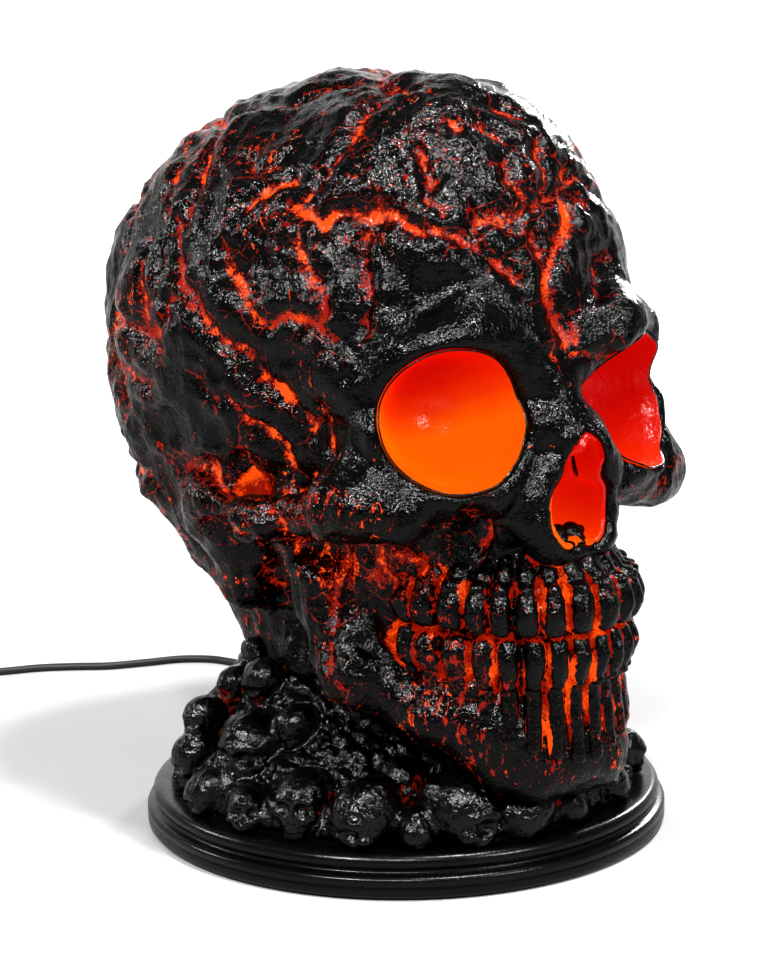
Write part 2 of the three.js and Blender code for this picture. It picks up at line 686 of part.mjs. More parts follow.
// Bottom cover with the posts that carry the light, and the foam pad under it
const postRadius = 12.5;
const postBore = 9.5;
const postTop = 112;
const postFlangeRadius = 26;
const postFlangeThickness = 3;
const headRadius = 17;
const bossHeight = 7.5;
const bossRadius = 4.2;
const bossCircle = 21;
const bossPlaces = around(3, bossCircle, -Math.PI / 2);
const postFoot = coverTop + bossHeight + seatGap;
const postScrewZ = postFoot + postFlangeThickness + screws.post.headHeight + seatGap;

const clampY = 44;
const clampLength = 24;
const clampWidth = 9;
const clampRoof = 1.3;
const clampFoot = coverTop + seatGap;
const clampRoomTop = exitHeight + cordDiameter / 2 + seatGap;
const clampHeight = clampRoomTop + clampRoof - clampFoot;
const saddleTop = exitHeight - cordDiameter / 2 - seatGap;
const clampScrewPlaces = [[-clampLength / 3, clampY], [clampLength / 3, clampY]];
const clampEar = 2.6;
const clampScrewZ = clampFoot + clampEar + screws.clamp.headHeight + seatGap;

function makeCover() {
  let cover = solid(disc(coverRadius, coverBottom, coverTop, roundSides));
  for (const [x, y] of bossPlaces) {
    const boss = disc(bossRadius, coverBottom, coverTop + bossHeight, 10);
    cover = cover.add(solid(boss.translate(x, y, 0)));
  }
  const saddle = box(cordDiameter, clampWidth, saddleTop - coverBottom)
    .translate(0, clampY, (saddleTop + coverBottom) / 2);
  cover = cover.add(solid(saddle));
  cover = drilled(cover, screws.post, bossPlaces, postScrewZ, -1);
  cover = drilled(cover, screws.clamp, clampScrewPlaces, clampScrewZ, -1);
  return drilled(cover, screws.cover, coverScrewPlaces, coverBottom, 1);
}

function makePost() {
  let post = solid(turned([
    [postBore, postFoot], [postFlangeRadius, postFoot], [postFlangeRadius, postFoot + postFlangeThickness],
    [postRadius, postFoot + postFlangeThickness], [postRadius, postTop - headRadius + postRadius],
    [headRadius, postTop - postFlangeThickness / 2], [headRadius, postTop], [postBore, postTop],
    [postBore, postFoot],
  ], 18));
  post = drilled(post, screws.post, bossPlaces, postScrewZ, -1);
  return drilled(post, screws.board, boardScrewPlaces, boardScrewZ, -1);
}

// Lamp board: a round board on the post, lamps on top, a chip and the cord's connector below
const boardRadius = 25;
const boardThickness = 1.6;
const boardFoot = postTop + seatGap;
const boardTop = boardFoot + boardThickness;
const boardScrewCircle = (postBore + headRadius) / 2;
const boardScrewPlaces = [[-boardScrewCircle, 0], [boardScrewCircle, 0]];
const boardScrewZ = boardTop + screws.board.headHeight + seatGap;
const lampCount = 6;
const lampCircle = 19;
const lampLength = 5;
const lampWidth = 5;
const lampThickness = 1.6;
const chipLength = 5;
const chipWidth = 4;
const chipThickness = 1.6;
const chipCircle = (headRadius + boardRadius) / 2;
const connectorWidth = 7;
const connectorHeight = 6;

function makeBoard() {
  const board = solid(disc(boardRadius, boardFoot, boardTop, 24));
  return drilled(board, screws.board, boardScrewPlaces, boardScrewZ, -1);
}

// The clamp bridges the cord on the cover's saddle
function makeClamp() {
  const bridge = box(clampLength / 3, clampWidth, clampHeight)
    .translate(0, clampY, clampFoot + clampHeight / 2);
  const ears = box(clampLength, clampWidth, clampEar)
    .translate(0, clampY, clampFoot + clampEar / 2);
  const groove = cordDiameter + 2 * seatGap;
  const room = box(groove, clampWidth + overrun, 2 * (clampRoomTop - clampFoot))
    .translate(0, clampY, clampFoot);
  const clamp = solid(bridge).add(solid(ears)).subtract(solid(room));
  return drilled(clamp, screws.clamp, clampScrewPlaces, clampScrewZ, -1);
}

// Cord: round, limp, laid on the table; the points are chosen by hand
const cordSides = 8;
const cordStepShare = 2.5;
const insidePoints = [
  [0, 105.3, 11], [0, 92, 11], [0, 76, 11], [0, 58, 11], [0, 40, 11], [0, 24, 11],
  [0, 13, 11], [0, 7.2, 12], [0, 3.2, 15.1], [0, 1.1, 19.8], [0, 0.3, 27],
  [0, 0, 42], [0, 0, 72], [0, 0, 105.7],
];
const runPoints = [
  [0, 105.6, 11], [0, 114, 10.8], [1, 122, 8.6], [4, 131, 4.6], [10, 141, 2.1], [18, 150, 1.8],
  [30, 160, 1.8], [43, 169, 1.8], [54, 180, 1.8], [61, 194, 1.8], [63.6, 210, 1.8], [62, 224, 1.8],
  [56, 239, 1.8], [44, 249, 1.8], [28.5, 253.5, 1.8], [10, 259.5, 1.8], [-4, 269, 1.8], [-19, 277.5, 1.8],
  [-37, 283, 1.8], [-50, 286.3, 2.6], [-61, 289.2, 5.4], [-67, 290.6, 7], [-72, 292, 7.45],
];
const linkPoints = [
  [-126.34, 307.85, 7.45], [-131, 309.2, 7], [-138, 311.2, 4.6], [-148, 314.1, 2.1],
  [-157, 316.75, 1.8], [-166.1, 319.41, 1.8],
];
const tailPoints = [
  [-173.42, 321.55, 5.8], [-178, 322.88, 5.7], [-187, 325.5, 4], [-197, 328.4, 2.4],
  [-208, 331.6, 2.2], [-218, 334.5, 3.6], [-226, 336.9, 4.1],
];

function cordSection() {
  const corners = [];
  for (let i = 0; i < cordSides; i++) {
    corners.push(new THREE.Vector2(...polar(cordDiameter / 2, ((i + 1 / 2) * 2 * Math.PI) / cordSides)));
  }
  return new THREE.Shape(corners);
}

function cordTube(points) {
  const curve = new THREE.CatmullRomCurve3(points.map((point) => new THREE.Vector3(...point)));
  const steps = Math.ceil(curve.getLength() / (cordStepShare * cordDiameter));
  return new THREE.ExtrudeGeometry(cordSection(), { steps, bevelEnabled: false, extrudePath: curve });
}

// Coil: in over the lower layer, up in the half turn where the spiral reverses, out over the upper
const coilTurns = 8;
const coilSides = 6;
const coilStepsPerTurn = 24;
const coilGap = 0.5;
const coilPitch = cordDiameter + coilGap;
const coilOuter = 28;
const coilMiddle = [-177.6, 293.6];
const headingShares = [-0.96, 0.28];
const coilHeading = Math.atan2(headingShares[1], headingShares[0]);
const lowerLayer = 1.8;
const climbShare = 0.25;

class CoilCurve extends THREE.Curve {
  constructor() {
    super();
    this.arcLengthDivisions = coilTurns * coilStepsPerTurn * 8;
    this.wound = coilTurns * Math.PI * (coilOuter * 2 - (coilTurns / 2) * coilPitch);
    this.whole = this.wound + 2 * cordDiameter;
  }

  getPoint(t, target = new THREE.Vector3()) {
    const lead = cordDiameter / this.whole;
    const share = Math.min(Math.max((t - lead) / (1 - 2 * lead), 0), 1);
    const turns = share * coilTurns;
    const half = coilTurns / 2;
    const radius = coilOuter - coilPitch * (half - Math.abs(turns - half));
    const climb = THREE.MathUtils.smoothstep(turns, half - climbShare, half + climbShare);
    const angle = coilHeading - Math.PI / 2 + turns * 2 * Math.PI;
    const [x, y] = polar(radius, angle);
    target.set(coilMiddle[0] + x, coilMiddle[1] + y, lowerLayer + coilPitch * climb);
    const past = t < lead ? t - lead : Math.max(t - 1 + lead, 0);
    const [dx, dy] = polar(past * this.whole, coilHeading);
    return target.add(new THREE.Vector3(dx, dy, 0));
  }
}

function coilSection() {
  const corners = [];
  for (let i = 0; i < coilSides; i++) {
    corners.push(new THREE.Vector2(...polar(cordDiameter / 2, (i * 2 * Math.PI) / coilSides)));
  }
  return new THREE.Shape(corners);
}

const coilCurve = new CoilCurve();
const coilSteps = coilTurns * coilStepsPerTurn;

function leastCoilGap() {
  const finer = 3;
  const points = coilCurve.getSpacedPoints(coilSteps * finer);
  const apart = (coilStepsPerTurn * finer) / 3;
  let least = Infinity;
  for (let i = 0; i < points.length; i++) {
    for (let j = i + apart; j < points.length; j++) {
      least = Math.min(least, points[i].distanceTo(points[j]));
    }
  }
  return least - cordDiameter;
}
console.log(`least gap between the coil's turns: ${leastCoilGap().toFixed(2)} mm`);

// Rocker switch on the cord, its long way along the cord
const switchStart = [-72, 292];
const switchLength = 56;
const switchWidth = 22;
const switchHeight = 14.8;
const switchWall = 2;
const switchSplit = switchHeight / 2;
const switchFloor = 0.1;
const switchRoom = 34;
const switchCorner = 4;
const rockerWidth = 9;
const rockerHalf = 8.2;
const rockerRise = 2.6;
const rockerDip = 1.5;
const rockerDepth = 3.2;
const rockerFoot = 7.4;
const rockerGap = 0.35;
const rockerSlope = 7;
const pivotDepth = 1.5;
const pinRadius = 0.8;
const pinReach = 1.2;
const pivotHeight = switchFloor + switchHeight - pivotDepth;
const contactHeight = 6;

// From the switch's own place, long way along X, to its place on the cord
function onCord(geometry) {
  const middle = seatGap + switchLength / 2;
  geometry.translate(middle, 0, 0).rotateZ(coilHeading);
  return geometry.translate(switchStart[0], switchStart[1], 0);
}

function roundedPlate(length, width, corner, low, high) {
  const outline = new THREE.Shape();
  const [a, b] = [length / 2 - corner, width / 2 - corner];
  outline.absarc(a, b, corner, 0, Math.PI / 2);
  outline.absarc(-a, b, corner, Math.PI / 2, Math.PI);
  outline.absarc(-a, -b, corner, Math.PI, 1.5 * Math.PI);
  outline.absarc(a, -b, corner, 1.5 * Math.PI, 2 * Math.PI);
  const settings = { depth: high - low, bevelEnabled: false, curveSegments: 3 };
  return new THREE.ExtrudeGeometry(outline, settings).translate(0, 0, low);
}

const switchScrewPlaces = [
  [-(switchRoom + switchLength) / 4, switchWidth / 4], [(switchRoom + switchLength) / 4, -switchWidth / 4],
];

function switchHalf(low, high, roomLow, roomHigh) {
  const inside = [switchRoom, switchWidth - 2 * switchWall];
  const half = solid(roundedPlate(switchLength, switchWidth, switchCorner, low, high))
    .subtract(solid(roundedPlate(...inside, switchWall, roomLow, roomHigh)));
  return drilled(half, screws.switch, switchScrewPlaces, switchFloor, 1);
}

function switchBottom() {
  const top = switchFloor + switchSplit;
  return onCord(shape(switchHalf(switchFloor, top, switchFloor + switchWall, top + overrun)));
}

function switchTop() {
  const low = switchFloor + switchSplit + seatGap;
  const high = switchFloor + switchHeight;
  const window = box(2 * (rockerHalf + 2 * rockerGap), rockerWidth + 2 * rockerGap, switchHeight)
    .translate(0, 0, high);
  const pocketTop = pivotHeight + pinRadius + rockerGap / 2;
  const pinWidth = 2 * (pinRadius + rockerGap / 2);
  const pinLength = rockerWidth + 2 * (pinReach + rockerGap);
  const pocket = box(pinWidth, pinLength, switchHeight)
    .translate(0, 0, pocketTop - switchHeight / 2);
  const half = switchHalf(low, high, low - overrun, high - switchWall);
  return onCord(shape(half.subtract(solid(window)).subtract(solid(pocket))));
}

function rocker() {
  const corners = [
    [-rockerFoot, -rockerDepth], [rockerFoot, -rockerDepth],
    [rockerHalf, rockerRise], [0, rockerDip], [-rockerHalf, rockerRise],
  ];
  const outline = new THREE.Shape(corners.map((corner) => new THREE.Vector2(...corner)));
  const body = new THREE.ExtrudeGeometry(outline, { depth: rockerWidth, bevelEnabled: false });
  body.translate(0, 0, -rockerWidth / 2);
  const long = rockerWidth + 2 * pinReach;
  const pin = new THREE.CylinderGeometry(pinRadius, pinRadius, long, 10).rotateX(Math.PI / 2);
  const whole = shape(solid(body).add(solid(pin))).rotateX(Math.PI / 2);
  whole.rotateY((rockerSlope * Math.PI) / 180).translate(0, 0, pivotHeight);
  return onCord(whole);
}

function switchContact() {
  const low = switchFloor + switchWall + seatGap;
  return onCord(box(rockerFoot * 2, rockerWidth, contactHeight - seatGap)
    .translate(0, 0, low + (contactHeight - seatGap) / 2));
}

// Plug of the flat, four-contact kind, lying flat past the tail
const plugStart = [-226, 336.9];
const plugAxis = 4.1;
const plugLength = 22;
const plugWidth = 15;
const plugHeight = 7.8;
const plugCorner = 2.5;
const plugShellLength = 18;
const plugShellWidth = 12;
const plugShellHeight = 4.5;
const plugShellWall = 0.4;
const tongueThickness = 1.9;

function onTail(geometry, start) {
  geometry.translate(seatGap + start, 0, 0).rotateZ(coilHeading);
  return geometry.translate(plugStart[0], plugStart[1], plugAxis);
}

function plugGrip() {
  const grip = roundedPlate(plugLength, plugWidth, plugCorner, -plugHeight / 2, plugHeight / 2);
  return onTail(grip, plugLength / 2);
}

function plugShell() {
  const outer = solid(box(plugShellLength, plugShellWidth, plugShellHeight));
  const open = plugShellWidth - 2 * plugShellWall;
  const inner = solid(box(plugShellLength + overrun, open, plugShellHeight - 2 * plugShellWall));
  return onTail(shape(outer.subtract(inner)), plugLength + seatGap + plugShellLength / 2);
}

function plugTongue() {
  const long = plugShellLength - 2 * plugShellWall;
  const wide = plugShellWidth - 2 * plugShellWall - 2 * seatGap;
  const low = -plugShellHeight / 2 + plugShellWall + seatGap;
  const tongue = box(long, wide, tongueThickness).translate(0, 0, low + tongueThickness / 2);
  return onTail(tongue, plugLength + seatGap + long / 2);
}

// The lamp, from the skull down
piece("skull_casting", shape(makeSkull()), "lava");
piece("right_eye_bowl", shape(eyeBowl(-1)), "glow");
piece("left_eye_bowl", shape(eyeBowl(1)), "glow");
piece("nose_bowl", shape(noseBowl()), "glow");
piece("mound_casting", shape(makeMound()), "lava");
fasten("neck_screw", screws.neck, neckScrewPlaces, neckScrewZ, 1);
piece("plinth_ring", shape(makePlinth()), "stone");
fasten("mound_screw", screws.mound, moundScrewPlaces, moundScrewZ, 1);
piece("bottom_cover", shape(makeCover()), "plastic");
fasten("cover_screw", screws.cover, coverScrewPlaces, coverBottom, 1);
piece("base_pad", disc(padRadius, 0, padThickness, roundSides), "foam");

// The light inside
piece("light_post", shape(makePost()), "white");
fasten("post_screw", screws.post, bossPlaces, postScrewZ, -1);
piece("lamp_board", shape(makeBoard()), "white");
fasten("board_screw", screws.board, boardScrewPlaces, boardScrewZ, -1);
around(lampCount, lampCircle, Math.PI / lampCount).forEach(([x, y], i) => {
  const chip = box(lampLength, lampWidth, lampThickness);
  piece(`board_lamp_${i + 1}`, chip.translate(x, y, boardTop + seatGap + lampThickness / 2), "lamp");
});
piece("driver_chip", box(chipLength, chipWidth, chipThickness)
  .translate(0, -chipCircle, boardFoot - seatGap - chipThickness / 2), "rubber");
piece("board_connector", box(connectorWidth, connectorWidth, connectorHeight)
  .translate(0, 0, boardFoot - seatGap - connectorHeight / 2), "white");

// The cord, what holds it and what is on it
piece("cord_grommet", shape(solid(grommet())), "rubber");
piece("cord_clamp", shape(makeClamp()), "plastic");
fasten("clamp_screw", screws.clamp, clampScrewPlaces, clampScrewZ, -1);
piece("inner_cord", cordTube(insidePoints), "rubber");
piece("cord_run", cordTube(runPoints), "rubber");
piece("switch_bottom", switchBottom(), "plastic");
piece("switch_top", switchTop(), "plastic");
piece("switch_rocker", rocker(), "rubber");
piece("switch_contact", switchContact(), "white");
switchScrewPlaces.forEach(([x, y], i) => {
  piece(`switch_screw_${i + 1}`, onCord(screwShape(screws.switch, x, y, switchFloor, 1)), "steel");
});
piece("cord_link", cordTube(linkPoints), "rubber");
piece("cord_coil", new THREE.ExtrudeGeometry(coilSection(), {
  steps: coilSteps, bevelEnabled: false, extrudePath: coilCurve,
}), "rubber");
piece("cord_tail", cordTube(tailPoints), "rubber");
piece("plug_grip", plugGrip(), "rubber");
piece("plug_shell", plugShell(), "steel");
piece("plug_tongue", plugTongue(), "white");

export default lamp;
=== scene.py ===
import math

import bpy
import numpy as np
from mathutils import Matrix, Vector


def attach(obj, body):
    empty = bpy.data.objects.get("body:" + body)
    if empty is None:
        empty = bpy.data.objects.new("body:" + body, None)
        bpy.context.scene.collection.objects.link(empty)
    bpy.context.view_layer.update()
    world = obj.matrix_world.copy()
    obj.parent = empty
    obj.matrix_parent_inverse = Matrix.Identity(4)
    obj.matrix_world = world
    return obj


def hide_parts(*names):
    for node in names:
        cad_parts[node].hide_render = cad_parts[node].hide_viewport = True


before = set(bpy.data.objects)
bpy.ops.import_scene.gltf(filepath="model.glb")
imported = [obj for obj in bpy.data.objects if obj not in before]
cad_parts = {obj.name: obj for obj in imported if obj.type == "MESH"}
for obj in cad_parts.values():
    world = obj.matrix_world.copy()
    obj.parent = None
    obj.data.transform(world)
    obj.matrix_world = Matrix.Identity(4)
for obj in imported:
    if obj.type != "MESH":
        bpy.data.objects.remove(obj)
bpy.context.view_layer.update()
share = 0.1   # the forms' tables count in shares of 100 mm
mm = 0.001
mmInShares = 0.01

cameraSetup = {
    "turn": 36.0, "distance": 0.8, "height": 0.2698,
    "pitch": 9.9, "yaw": -0.45, "roll": -0.77,
    "focal": 2138.0, "frame": (771, 960), "sensor": 36.0,
}


def cameraBasis(setup):
    pitch, yaw, roll, turn = (math.radians(setup[k]) for k in ("pitch", "yaw", "roll", "turn"))
    ahead = np.array([
        math.sin(yaw) * math.cos(pitch), math.cos(yaw) * math.cos(pitch), -math.sin(pitch),
    ])
    right = np.cross(ahead, [0, 0, 1])
    right /= np.linalg.norm(right)
    up = np.cross(right, ahead)
    c, s = math.cos(roll), math.sin(roll)
    right, up = c * right + s * up, c * up - s * right
    c, s = math.cos(turn), math.sin(turn)
    spin = np.array([[c, s, 0], [-s, c, 0], [0, 0, 1]])
    place = spin @ np.array([0, -setup["distance"], setup["height"]])
    return place, spin @ ahead, spin @ right, spin @ up


cameraPlace, cameraAhead, cameraRight, cameraUp = cameraBasis(cameraSetup)


def link(obj):
    bpy.context.scene.collection.objects.link(obj)
    return obj


def makeCamera(setup):
    data = bpy.data.cameras.new("photoCamera")
    data.sensor_fit = "VERTICAL"
    data.sensor_height = setup["sensor"]
    data.lens = setup["focal"] / setup["frame"][1] * setup["sensor"]
    data.clip_end = 20
    camera = link(bpy.data.objects.new("photoCamera", data))
    turn = Matrix((cameraRight, cameraUp, -cameraAhead)).transposed()
    camera.matrix_world = Matrix.Translation(Vector(cameraPlace)) @ turn.to_4x4()
    bpy.context.scene.camera = camera


def photoRays(pixels):
    px = np.asarray(pixels, float)
    width, height = cameraSetup["frame"]
    aside = (px[:, 0:1] - width / 2) / cameraSetup["focal"]
    above = (height / 2 - px[:, 1:2]) / cameraSetup["focal"]
    way = cameraAhead + aside * cameraRight + above * cameraUp
    return way / np.linalg.norm(way, axis=1, keepdims=True)


makeCamera(cameraSetup)
print("stage: camera")


# Shader maths: Wire wraps a socket, and an expression on values adds Math nodes
class Wire:
    def __init__(self, sheet, socket):
        self.sheet, self.socket = sheet, socket

    def _math(self, operation, *values):
        return self.sheet.node("ShaderNodeMath", {"operation": operation}, list(values))

    def __add__(self, other): return self._math("ADD", self, other)
    def __radd__(self, other): return self._math("ADD", other, self)
    def __sub__(self, other): return self._math("SUBTRACT", self, other)
    def __rsub__(self, other): return self._math("SUBTRACT", other, self)
    def __mul__(self, other): return self._math("MULTIPLY", self, other)
    def __rmul__(self, other): return self._math("MULTIPLY", other, self)
    def __truediv__(self, other): return self._math("DIVIDE", self, other)
    def __rtruediv__(self, other): return self._math("DIVIDE", other, self)
    def __pow__(self, other): return self._math("POWER", self, other)
    def __abs__(self): return self._math("ABSOLUTE", self)
    def high(self, other): return self._math("MAXIMUM", self, other)

    def span(self, start, end):
        # from 0 at start to 1 at end
        settings = {"interpolation_type": "SMOOTHSTEP", "clamp": True}
        inputs = {"Value": self, "From Min": start, "From Max": end}
        return self.sheet.node("ShaderNodeMapRange", settings, inputs)


class Sheet:
    # One material: its node tree, with the shader already wired to the output
    def __init__(self, name):
        self.material = bpy.data.materials.new(name)
        self.material.use_nodes = True
        self.tree = self.material.node_tree
        self.shader = next(n for n in self.tree.nodes if n.type == "BSDF_PRINCIPLED")
        self.place = self.node("ShaderNodeTexCoord", {}, {}, "Object")

    def node(self, kind, settings, inputs, out=0):
        made = self.tree.nodes.new(kind)
        for key, value in settings.items():
            if key == "stops":
                ramp = made.color_ramp
                while len(ramp.elements) < len(value):
                    ramp.elements.new(0.5)
                for element, (place, colour) in zip(ramp.elements, value):
                    element.position, element.color = place, (*colour, 1)
            else:
                setattr(made, key, value)
        pairs = inputs.items() if isinstance(inputs, dict) else enumerate(inputs)
        for key, value in pairs:
            self.put(made.inputs[key], value)
        return Wire(self, made.outputs[out])

    def put(self, socket, value):
        if isinstance(value, Wire):
            self.tree.links.new(value.socket, socket)
        elif isinstance(value, tuple) and len(value) == 3 and socket.type == "RGBA":
            socket.default_value = (*value, 1)
        else:
            socket.default_value = value

    def noise(self, scale, detail=2.0, rough=0.5, warp=0.0, at=None, out="Fac"):
        return self.node("ShaderNodeTexNoise", {}, {
            "Vector": at or self.place, "Scale": scale, "Detail": detail,
            "Roughness": rough, "Distortion": warp,
        }, out)

    def cells(self, scale, feature="F1", at=None):
        inputs = {"Vector": at or self.place, "Scale": scale}
        return self.node("ShaderNodeTexVoronoi", {"feature": feature}, inputs, "Distance")

    def stretched(self, x, y, z):
        return self.node("ShaderNodeVectorMath", {"operation": "MULTIPLY"}, [self.place, (x, y, z)])

    def shifted(self, amount, scale):
        swirl = self.noise(scale, 2.0, out="Color")
        pull = self.node("ShaderNodeVectorMath", {"operation": "SUBTRACT"}, [swirl, (0.5, 0.5, 0.5)])
        pull = self.node("ShaderNodeVectorMath", {"operation": "SCALE"}, {0: pull, "Scale": amount})
        return self.node("ShaderNodeVectorMath", {"operation": "ADD"}, [self.place, pull])

    def mix(self, share, first, second):
        made = self.tree.nodes.new("ShaderNodeMix")
        made.data_type = "RGBA"
        for index, value in ((0, share), (6, first), (7, second)):
            self.put(made.inputs[index], value)
        return Wire(self, made.outputs[2])

    def tint(self, colour, amount):
        return self.mix(amount, (0.0, 0.0, 0.0), colour)

    def mask(self, name):
        return self.node("ShaderNodeAttribute", {"attribute_name": name}, {}, "Fac")

    def bump(self, height, strength, distance):
        inputs = {"Height": height, "Strength": strength, "Distance": distance}
        return self.node("ShaderNodeBump", {}, inputs, "Normal")

    def finish(self, **sockets):
        for key, value in sockets.items():
            self.put(self.shader.inputs[key.replace("_", " ")], value)
        return self.material


# Ramps, angles and mirrored places, used by the forms and by the masks
def rising(values, start, reach):
    # 0 up to start, and 1 from start + reach on
    return np.clip((values - start) / reach, 0, 1)


def falling(values, start, reach):
    # 0 down to start, and 1 from start - reach on
    return np.clip((start - values) / reach, 0, 1)


def cosSin(degrees):
    return math.cos(math.radians(degrees)), math.sin(math.radians(degrees))


def mirrorX(p):
    # places of both halves, as places of the half with x above zero
    return np.column_stack([np.abs(p[:, 0]), p[:, 1:]])


# Forms: distances in shares from rows of points, below zero inside
def soften(a, b, blend):
    mix = np.clip(0.5 + 0.5 * (b - a) / blend, 0, 1)
    return b * (1 - mix) + a * mix - blend * mix * (1 - mix)


def carve(a, b, blend):
    return -soften(-a, b, blend)


def swing(p, at, turn=0, tip=0):
    q = p - np.asarray(at, float)
    if turn:
        c, s = cosSin(turn)
        q = np.stack([q[:, 0] * c + q[:, 1] * s, q[:, 1] * c - q[:, 0] * s, q[:, 2]], 1)
    if tip:
        c, s = cosSin(tip)
        q = np.stack([q[:, 0], q[:, 1] * c + q[:, 2] * s, q[:, 2] * c - q[:, 1] * s], 1)
    return q


def ovalGap(offsets, size):
    size = np.asarray(size, float)
    q = offsets / size
    far = np.sqrt((q * q).sum(1))
    steep = np.sqrt(((q / size) ** 2).sum(1))
    return far * (far - 1) / np.maximum(steep, 1e-9)


def egg(p, at, size, turn=0, tip=0):
    return ovalGap(swing(p, at, turn, tip), size)


def bone(p, start, end, thick):
    start, end = np.asarray(start, float), np.asarray(end, float)
    way = end - start
    t = np.clip((p - start) @ way / (way @ way), 0, 1)
    gap = np.sqrt(((p - start - t[:, None] * way) ** 2).sum(1))
    return gap - (thick[0] + (thick[1] - thick[0]) * t)


def rounded(a, b, edge):
    return np.hypot(np.maximum(a, 0), np.maximum(b, 0)) + np.minimum(np.maximum(a, b), 0) - edge


def plate(p, at, size, low, high, edge):
    side = ovalGap(p[:, :2] - np.asarray(at, float), size)
    return rounded(side + edge, np.abs(p[:, 2] - (low + high) / 2) - (high - low) / 2 + edge, edge)


def block(p, at, size, edge, turn=0, tip=0):
    q = np.abs(swing(p, at, turn, tip)) - (np.asarray(size, float) - edge)
    return np.sqrt((np.maximum(q, 0) ** 2).sum(1)) + np.minimum(q.max(1), 0) - edge


def strokes(p, rows, start=None):
    # one form from rows: its kind says whether it comes in a pair and whether it is a hollow
    mirrored = mirrorX(p)
    distance = start
    for form, kind, blend, facts in rows:
        gap = form(mirrored if "pair" in kind else p, **facts)
        if distance is None:
            distance = gap
        elif "hollow" in kind:
            distance = carve(distance, gap, blend)
        else:
            distance = soften(distance, gap, blend)
    return distance


tableSide = 32   # values along each side of a random table, before it repeats


def lattice(p, size, seed):
    # smooth random values from -1 to 1, a lattice of them size apart
    table = np.random.default_rng(seed).uniform(-1, 1, (tableSide,) * 3)
    q = p / size
    base = np.floor(q).astype(int)
    t = q - base
    t = t * t * (3 - 2 * t)
    total = np.zeros(len(p))
    for corner in range(8):
        step = np.array([corner & 1, corner >> 1 & 1, corner >> 2 & 1])
        index = (base + step) % tableSide
        weight = np.where(step, t, 1 - t).prod(1)
        total += weight * table[index[:, 0], index[:, 1], index[:, 2]]
    return total


def lumps(p, size, seed, octaves=3):
    return sum(lattice(p, size / 2 ** k, seed + k) / 2 ** k for k in range(octaves))


def stones(p, size, seed):
    # rounded stones about size across: 1 at a stone's middle and 0 in the cracks between them
    table = np.random.default_rng(seed).uniform(0.1, 0.9, (tableSide,) * 3 + (3,))
    q = p / size
    base = np.floor(q).astype(int)
    nearest = np.full(len(p), 9.0)
    for step in np.indices((3, 3, 3)).reshape(3, -1).T - 1:
        index = (base + step) % tableSide
        middle = base + step + table[index[:, 0], index[:, 1], index[:, 2]]
        nearest = np.minimum(nearest, ((q - middle) ** 2).sum(1))
    return np.clip(1 - nearest / 0.6, 0, 1) ** 0.6


# A form's field on a grid, worked out only near its surface, and the net over it
def sampleField(form, low, high, step, coarse=6):
    low, high = np.asarray(low, float), np.asarray(high, float)
    blocks = np.ceil((high - low) / (step * coarse)).astype(int)
    index = np.indices(blocks).reshape(3, -1).T
    centres = low + (index + 0.5) * coarse * step
    gaps = form(centres)
    reach = coarse * step * 1.6
    field = np.empty(blocks * coarse, np.float32)
    signs = np.where(gaps < 0, -reach, reach).reshape(blocks).astype(np.float32)
    field[:] = np.kron(signs, np.ones((coarse,) * 3, np.float32))
    inner = np.indices((coarse,) * 3).reshape(3, -1).T
    near = index[np.abs(gaps) < reach]
    for start in range(0, len(near), 1500):
        cells = (near[start:start + 1500, None, :] * coarse + inner[None]).reshape(-1, 3)
        values = form(low + (cells + 0.5) * step)
        field[cells[:, 0], cells[:, 1], cells[:, 2]] = values
    return field, low + 0.5 * step


def surfaceNet(field, low, step):
    inside = field < 0
    view = [inside[i:inside.shape[0] - 1 + i, j:inside.shape[1] - 1 + j, k:inside.shape[2] - 1 + k]
            for i in (0, 1) for j in (0, 1) for k in (0, 1)]
    count = sum(v.astype(np.int8) for v in view)
    active = (count > 0) & (count < 8)
    cells = np.argwhere(active)
    ids = np.full(active.shape, -1, np.int32)
    ids[active] = np.arange(len(cells))
    total, hits = np.zeros((len(cells), 3)), np.zeros(len(cells))
    corners = [np.array([i, j, k]) for i in (0, 1) for j in (0, 1) for k in (0, 1)]
    for a in corners:
        for axis in range(3):
            if a[axis]:
                continue
            b = a.copy()
            b[axis] = 1
            va = field[tuple((cells + a).T)]
            vb = field[tuple((cells + b).T)]
            cross = (va < 0) != (vb < 0)
            t = va[cross] / (va[cross] - vb[cross])
            total[cross] += a + t[:, None] * (b - a)
            hits[cross] += 1
    places = low + step * (cells + total / hits[:, None])
    faces = []
    for axis in range(3):
        others = [n for n in range(3) if n != axis]
        first = [slice(1, -1)] * 3
        second = [slice(1, -1)] * 3
        first[axis], second[axis] = slice(0, -1), slice(1, None)
        a, b = inside[tuple(first)], inside[tuple(second)]
        for flip in (False, True):
            found = np.argwhere(a & ~b if not flip else ~a & b)
            found[:, others] += 1
            ring = []
            for du, dv in ((0, 0), (1, 0), (1, 1), (0, 1)):
                shift = np.zeros(3, int)
                shift[others[0]], shift[others[1]] = -du, -dv
                ring.append(ids[tuple((found + shift).T)])
            quad = np.stack(ring, 1)
            faces.append(quad[:, ::-1] if flip ^ (axis == 1) else quad)
    return places, np.concatenate(faces)


def mainShell(places, faces):
    # keeps the largest connected piece and drops crumbs
    label = np.arange(len(places))
    edges = np.concatenate([faces[:, [i, (i + 1) % 4]] for i in range(4)])
    while True:
        best = np.minimum(label[edges[:, 0]], label[edges[:, 1]])
        new = label.copy()
        np.minimum.at(new, edges[:, 0], best)
        np.minimum.at(new, edges[:, 1], best)
        new = new[new]
        if (new == label).all():
            break
        label = new
    values, counts = np.unique(label, return_counts=True)
    keep = label == values[counts.argmax()]
    renumber = np.cumsum(keep) - 1
    return places[keep], renumber[faces[keep[faces[:, 0]]]]


